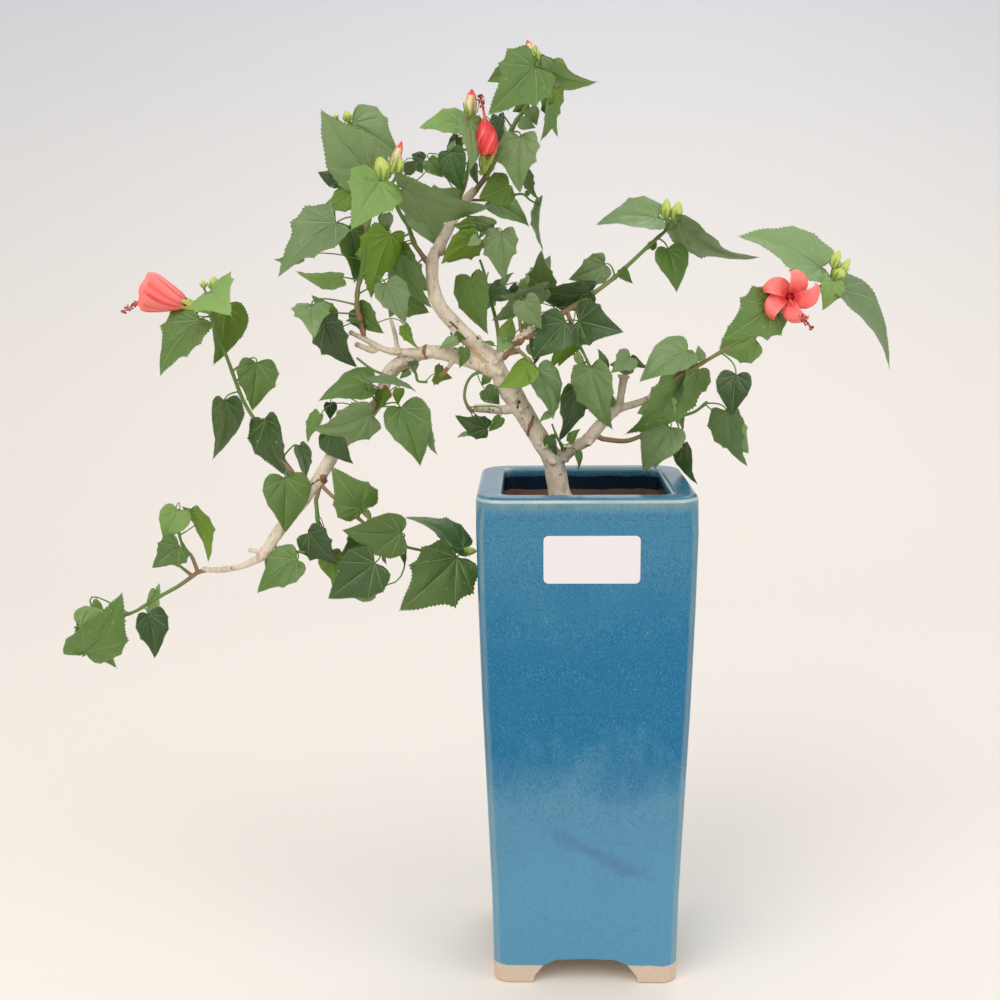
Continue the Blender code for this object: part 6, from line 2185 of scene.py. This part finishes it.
class BonsaiLooks(bpy.types.PropertyGroup):
    """Colours of the pot and of the plant."""

    glaze_deep: colour_setting("Deep glaze", "Blue where the glaze pools", (10, 106, 148))
    # Paler blue near the foot: a painted reflection.
    glaze_foot_reflection: colour_setting("Light glaze", "Paler blue near the foot", (86, 144, 174))
    glaze_rim: colour_setting("Rim glaze", "Blue of the band under the rim", (58, 122, 152))
    # Painted highlight along the corners and the rim's outer edge.
    edge_highlight: colour_setting("Thin glaze", "Where the glaze breaks over an edge", (150, 168, 152))
    # Painted highlight along the rim's edges.
    rim_highlight: colour_setting("Rim edge", "Where clay shows through on the rim's edge", (226, 224, 202))
    glaze_fleck: colour_setting("Pale flecks", "Small pale flecks in the glaze", (188, 196, 180))
    glaze_inside: colour_setting("Inner glaze", "Dark glaze inside the rim", (22, 38, 58))
    glaze_violet: colour_setting("Violet streak", "Faint streak near the foot", (74, 84, 150))
    clay: colour_setting("Clay", "Bare clay of the feet", (224, 200, 178))
    inner_clay: colour_setting("Inner clay", "Bare clay inside the pot", (150, 112, 92))
    soil: colour_setting("Soil", "Potting soil", (62, 46, 34))
    bark: colour_setting("Bark", "Pale bark", (221, 206, 184))
    bark_grey: colour_setting("Grey bark", "Greyer patches of bark", (190, 176, 156))
    bark_dark: colour_setting("Dark bark", "Fine cracks in the bark", (150, 118, 90))
    bark_pore: colour_setting("Bark pores", "Small dark pores", (104, 78, 58))
    leaf_deep: colour_setting("Deep leaf", "Upper face of the darkest leaves", (56, 84, 34))
    leaf_mid: colour_setting("Mid leaf", "Upper face of most leaves", (88, 118, 48))
    # Grey upper face: a painted reflection of the sky.
    leaf_sky_reflection: colour_setting("Grey leaf", "Upper face of leaves that catch the sky", (115, 140, 86))
    leaf_bright: colour_setting("Bright leaf", "Upper face of young leaves", (118, 150, 74))
    leaf_under: colour_setting("Leaf back", "Under face of most leaves", (126, 150, 88))
    # Olive under face: painted light shining through the leaf.
    leaf_backlit: colour_setting("Olive leaf back", "Under face where light comes through", (98, 128, 28))
    leaf_pale: colour_setting("Pale leaf back", "Palest under faces", (150, 172, 104))
    leaf_bright_under: colour_setting("Young leaf back", "Under face of young leaves", (134, 168, 78))
    vein: colour_setting("Leaf veins", "Main veins", (168, 186, 120))
    twig: colour_setting("Twig", "Young wood", (150, 118, 90))
    young: colour_setting("Young stem", "Stem that turns from green to wood", (128, 122, 74))
    green: colour_setting("Green stem", "This year's stems", (98, 128, 56))
    calyx: colour_setting("Calyx", "Calyx of buds and blossoms", (174, 186, 92))
    bract: colour_setting("Bracts", "Narrow bracts round the calyx", (132, 162, 72))
    petal: colour_setting("Petals", "Red petals", (228, 62, 62))
    coral: colour_setting("Coral petals", "Paler petals", (255, 122, 116))
    throat: colour_setting("Throat", "Inside of the open blossom", (196, 28, 44))
    column: colour_setting("Column", "Stamen column", (222, 104, 96))
    anther: colour_setting("Anthers", "Knobs on the column", (132, 20, 36))
    brown_share: bpy.props.FloatProperty(
        name="Woody share", description="Share of a shoot's main stem that is brown", default=0.45,
        min=0.0, max=1.0, subtype="FACTOR")


class BonsaiStage(bpy.types.PropertyGroup):
    """Camera, floor and lights."""

    lens: bpy.props.FloatProperty(
        name="Lens", description="Focal length in millimetres", default=48.24, min=10.0, max=200.0)
    floor: colour_setting("Floor", "Pale floor", (238, 229, 219))
    sky: colour_setting("Backdrop", "Backdrop high up", (196, 204, 217))
    key: bpy.props.FloatProperty(
        name="Key light", description="Power of the soft key light", default=20.0, min=0.0, unit="POWER")
    fill: bpy.props.FloatProperty(
        name="Fill light", description="Power of the soft fill light", default=9.0, min=0.0, unit="POWER")
    ambient: bpy.props.FloatProperty(
        name="Room light", description="Strength of the even light of the room", default=0.75, min=0.0)


def stem_finishes(looks):
    """Finishes of stems, stalks, buds and blossoms, by what they cover."""
    red = tuple(looks.petal)
    coral = tuple(looks.coral)
    between = tuple((a + b) / 2 for a, b in zip(coral, red))
    rows = (
        ("twig", "twig_bark", looks.twig, 0.75, 1200.0, 0.0003),
        ("young", "young_stem", looks.young, 0.65, 1200.0, 0.0002),
        ("green", "green_stem", looks.green, 0.55, 1200.0, 0.0002),
        ("stalk", "leaf_stalk", shaded(looks.green, 1.05), 0.55, 1200.0, 0.0001),
        ("calyx", "calyx_green", looks.calyx, 0.55, 900.0, 0.0002),
        ("calyx_pale", "calyx_pale_green", shaded(looks.calyx, 1.22), 0.5, 900.0, 0.0002),
        ("bud_cream", "bud_cream", paint(236, 206, 168), 0.5, 900.0, 0.0002),
        ("coral_pale", "petal_coral_pale", shaded(coral, 1.18), 0.45, 700.0, 0.0002),
        ("bract", "bract_green", looks.bract, 0.55, 900.0, 0.0001),
        ("petal", "petal_red", red, 0.45, 700.0, 0.0002),
        ("red", "petal_deep_red", shaded(red, 0.86), 0.45, 700.0, 0.0002),
        ("coral", "petal_coral", coral, 0.45, 700.0, 0.0002),
        ("coral_deep", "petal_coral_deep", between, 0.45, 700.0, 0.0002),
        ("throat", "petal_throat", looks.throat, 0.45, 700.0, 0.0002),
        ("column", "stamen_column", looks.column, 0.5),
        ("anther", "anther_red", looks.anther, 0.6),
        ("stigma", "stigma_red", shaded(looks.anther, 1.2), 0.5),
    )
    return {key: plain_finish(*row) for key, *row in rows}


def wood_finishes(looks):
    """Finishes of the wood, by what they cover."""
    return {
        "bark": bark_finish(looks),
        "wound": plain_finish("old_wound", shaded(looks.bark_pore, 0.8), 0.85, 1500.0, 0.0006),
        "heal": plain_finish("healed_wood", paint(198, 168, 130), 0.7, 900.0, 0.0003),
        "rust": plain_finish("rough_knob", paint(140, 104, 74), 0.85, 1500.0, 0.0006),
    }


class BONSAI_OT_pot(bpy.types.Operator):
    """Build the glazed pot and its blank label"""

    bl_idname = "bonsai.pot"
    bl_label = "Pot"

    def execute(self, context):
        looks = context.scene.bonsai_looks
        build_pot(glaze_finish(looks))
        build_label(plain_finish("blank_paper", paint(226, 221, 221), 0.5, 500.0, 0.0001))
        return {"FINISHED"}


class BONSAI_OT_soil(bpy.types.Operator):
    """Build the potting soil and its grit"""

    bl_idname = "bonsai.soil"
    bl_label = "Soil"

    def execute(self, context):
        looks = context.scene.bonsai_looks
        build_soil(soil_finish(looks), plain_finish("grit", looks.inner_clay, 0.9, 900.0, 0.0004))
        return {"FINISHED"}


class BONSAI_OT_wood(bpy.types.Operator):
    """Grow the trunk and boughs into one piece with bark"""

    bl_idname = "bonsai.wood"
    bl_label = "Trunk and boughs"

    def execute(self, context):
        build_wood(wood_finishes(context.scene.bonsai_looks))
        return {"FINISHED"}


class BONSAI_OT_foliage(bpy.types.Operator):
    """Grow every shoot's stems, leaves, buds and blossoms"""

    bl_idname = "bonsai.foliage"
    bl_label = "Shoots"

    def execute(self, context):
        looks = context.scene.bonsai_looks
        plant = lay_out_plant()
        leaves = leaf_finishes(looks)
        stems = stem_finishes(looks)
        patterns = leaf_patterns()
        for number, (name, laid) in enumerate(plant.items()):
            build_shoot_wood(name, laid, looks, stems)
            build_shoot_leaves(name, laid, patterns, leaves, number)
            build_shoot_blossoms(name, laid, stems, number)
        return {"FINISHED"}


def area_light(name, place, target, size, power, colour):
    """A round soft light that faces a target."""
    light = bpy.data.lights.new(name, "AREA")
    light.shape = "DISK"
    light.size = size
    light.energy = power
    light.color = colour
    made = stand(name, light)
    made.location = place
    made.rotation_euler = (Vector(target) - Vector(place)).to_track_quat("-Z", "Y").to_euler()


def set_camera(stage):
    """A camera at the eye, turned as the front drawing is."""
    camera = bpy.data.cameras.new("camera")
    camera.lens = stage.lens
    camera.sensor_width = 36.0
    camera.clip_start = 0.01
    eye = stand("camera", camera)
    eye.matrix_world = Matrix((
        (RIGHT.x, UP.x, -FORWARD.x, EYE.x),
        (RIGHT.y, UP.y, -FORWARD.y, EYE.y),
        (RIGHT.z, UP.z, -FORWARD.z, EYE.z),
        (0.0, 0.0, 0.0, 1.0),
    ))
    bpy.context.scene.camera = eye
    bpy.context.scene.view_settings.view_transform = "Standard"


def build_backdrop(stage):
    """A floor that curves up behind the plant."""
    sweep = block_out(bpy.ops.mesh.primitive_plane_add, "floor_sweep",
                      size=5.0, location=(0.0, -0.6, -0.0002))
    edit(sweep)
    back = max(v.co.y for v in sweep.data.vertices)
    choose(sweep, edges=lambda e: min(v.co.y for v in e.verts) > back - NEAR)
    push(0.0, 0.0, 3.0)
    choose(sweep, edges=lambda e: all(v.co.y > back - NEAR and v.co.z < 0.1 for v in e.verts))
    bpy.ops.mesh.bevel(offset=1.1, segments=16, affect="EDGES")
    bpy.ops.object.mode_set(mode="OBJECT")
    smooth(sweep)
    cloth = Finish("pale_backdrop", stage.floor, 0.9)
    height = cloth.axes(SHIFT)[2]
    cloth.set("Base Color", cloth.mix(height.rises(-0.1, 1.5), tuple(stage.floor), tuple(stage.sky)))
    cover(sweep, cloth.material)


def light_room(stage):
    """Even light of the room, and three soft lights."""
    world = bpy.data.worlds.new("soft_room")
    world.use_nodes = True
    sky = world.node_tree.nodes["Background"]
    sky.inputs["Color"].default_value = (0.97, 0.985, 1.0, 1.0)
    sky.inputs["Strength"].default_value = stage.ambient
    bpy.context.scene.world = world
    middle = SHIFT + Vector((0.0, 0.0, 0.3))
    for name, place, size, power, colour in (
        ("key_light", (-0.9, -1.3, 1.7), 1.6, stage.key, (1.0, 0.97, 0.93)),
        ("fill_light", (1.5, -0.9, 1.1), 1.4, stage.fill, (0.94, 0.97, 1.0)),
        ("back_light", (0.3, 1.2, 1.9), 1.2, stage.fill * 0.9, (1.0, 1.0, 1.0)),
    ):
        area_light(name, place, middle, size, power, colour)


class BONSAI_OT_stage(bpy.types.Operator):
    """Set the camera, a plain pale floor and soft studio light"""

    bl_idname = "bonsai.stage"
    bl_label = "Stage"

    def execute(self, context):
        stage = context.scene.bonsai_stage
        set_camera(stage)
        build_backdrop(stage)
        light_room(stage)
        return {"FINISHED"}


class BONSAI_PT_panel(bpy.types.Panel):
    """Lists the pieces of the bonsai"""

    bl_label = "Turk's cap bonsai"
    bl_space_type = "VIEW_3D"
    bl_region_type = "UI"
    bl_category = "Bonsai"

    def draw(self, context):
        for step in STEPS:
            self.layout.operator(step.bl_idname)
        for group in (context.scene.bonsai_looks, context.scene.bonsai_stage):
            box = self.layout.box()
            for name in group.bl_rna.properties.keys():
                if name not in ("rna_type", "name"):
                    box.prop(group, name)


STEPS = (BONSAI_OT_pot, BONSAI_OT_soil, BONSAI_OT_wood, BONSAI_OT_foliage, BONSAI_OT_stage)
CLASSES = (BonsaiLooks, BonsaiStage) + STEPS + (BONSAI_PT_panel,)


def register():
    for made in CLASSES:
        bpy.utils.register_class(made)
    bpy.types.Scene.bonsai_looks = bpy.props.PointerProperty(type=BonsaiLooks)
    bpy.types.Scene.bonsai_stage = bpy.props.PointerProperty(type=BonsaiStage)


def unregister():
    del bpy.types.Scene.bonsai_stage
    del bpy.types.Scene.bonsai_looks
    for made in reversed(CLASSES):
        bpy.utils.unregister_class(made)


def main():
    """Build every piece."""
    register()
    bpy.ops.bonsai.pot()
    bpy.ops.bonsai.soil()
    bpy.ops.bonsai.wood()
    bpy.ops.bonsai.foliage()
    bpy.ops.bonsai.stage()


if __name__ == "__main__":
    main()
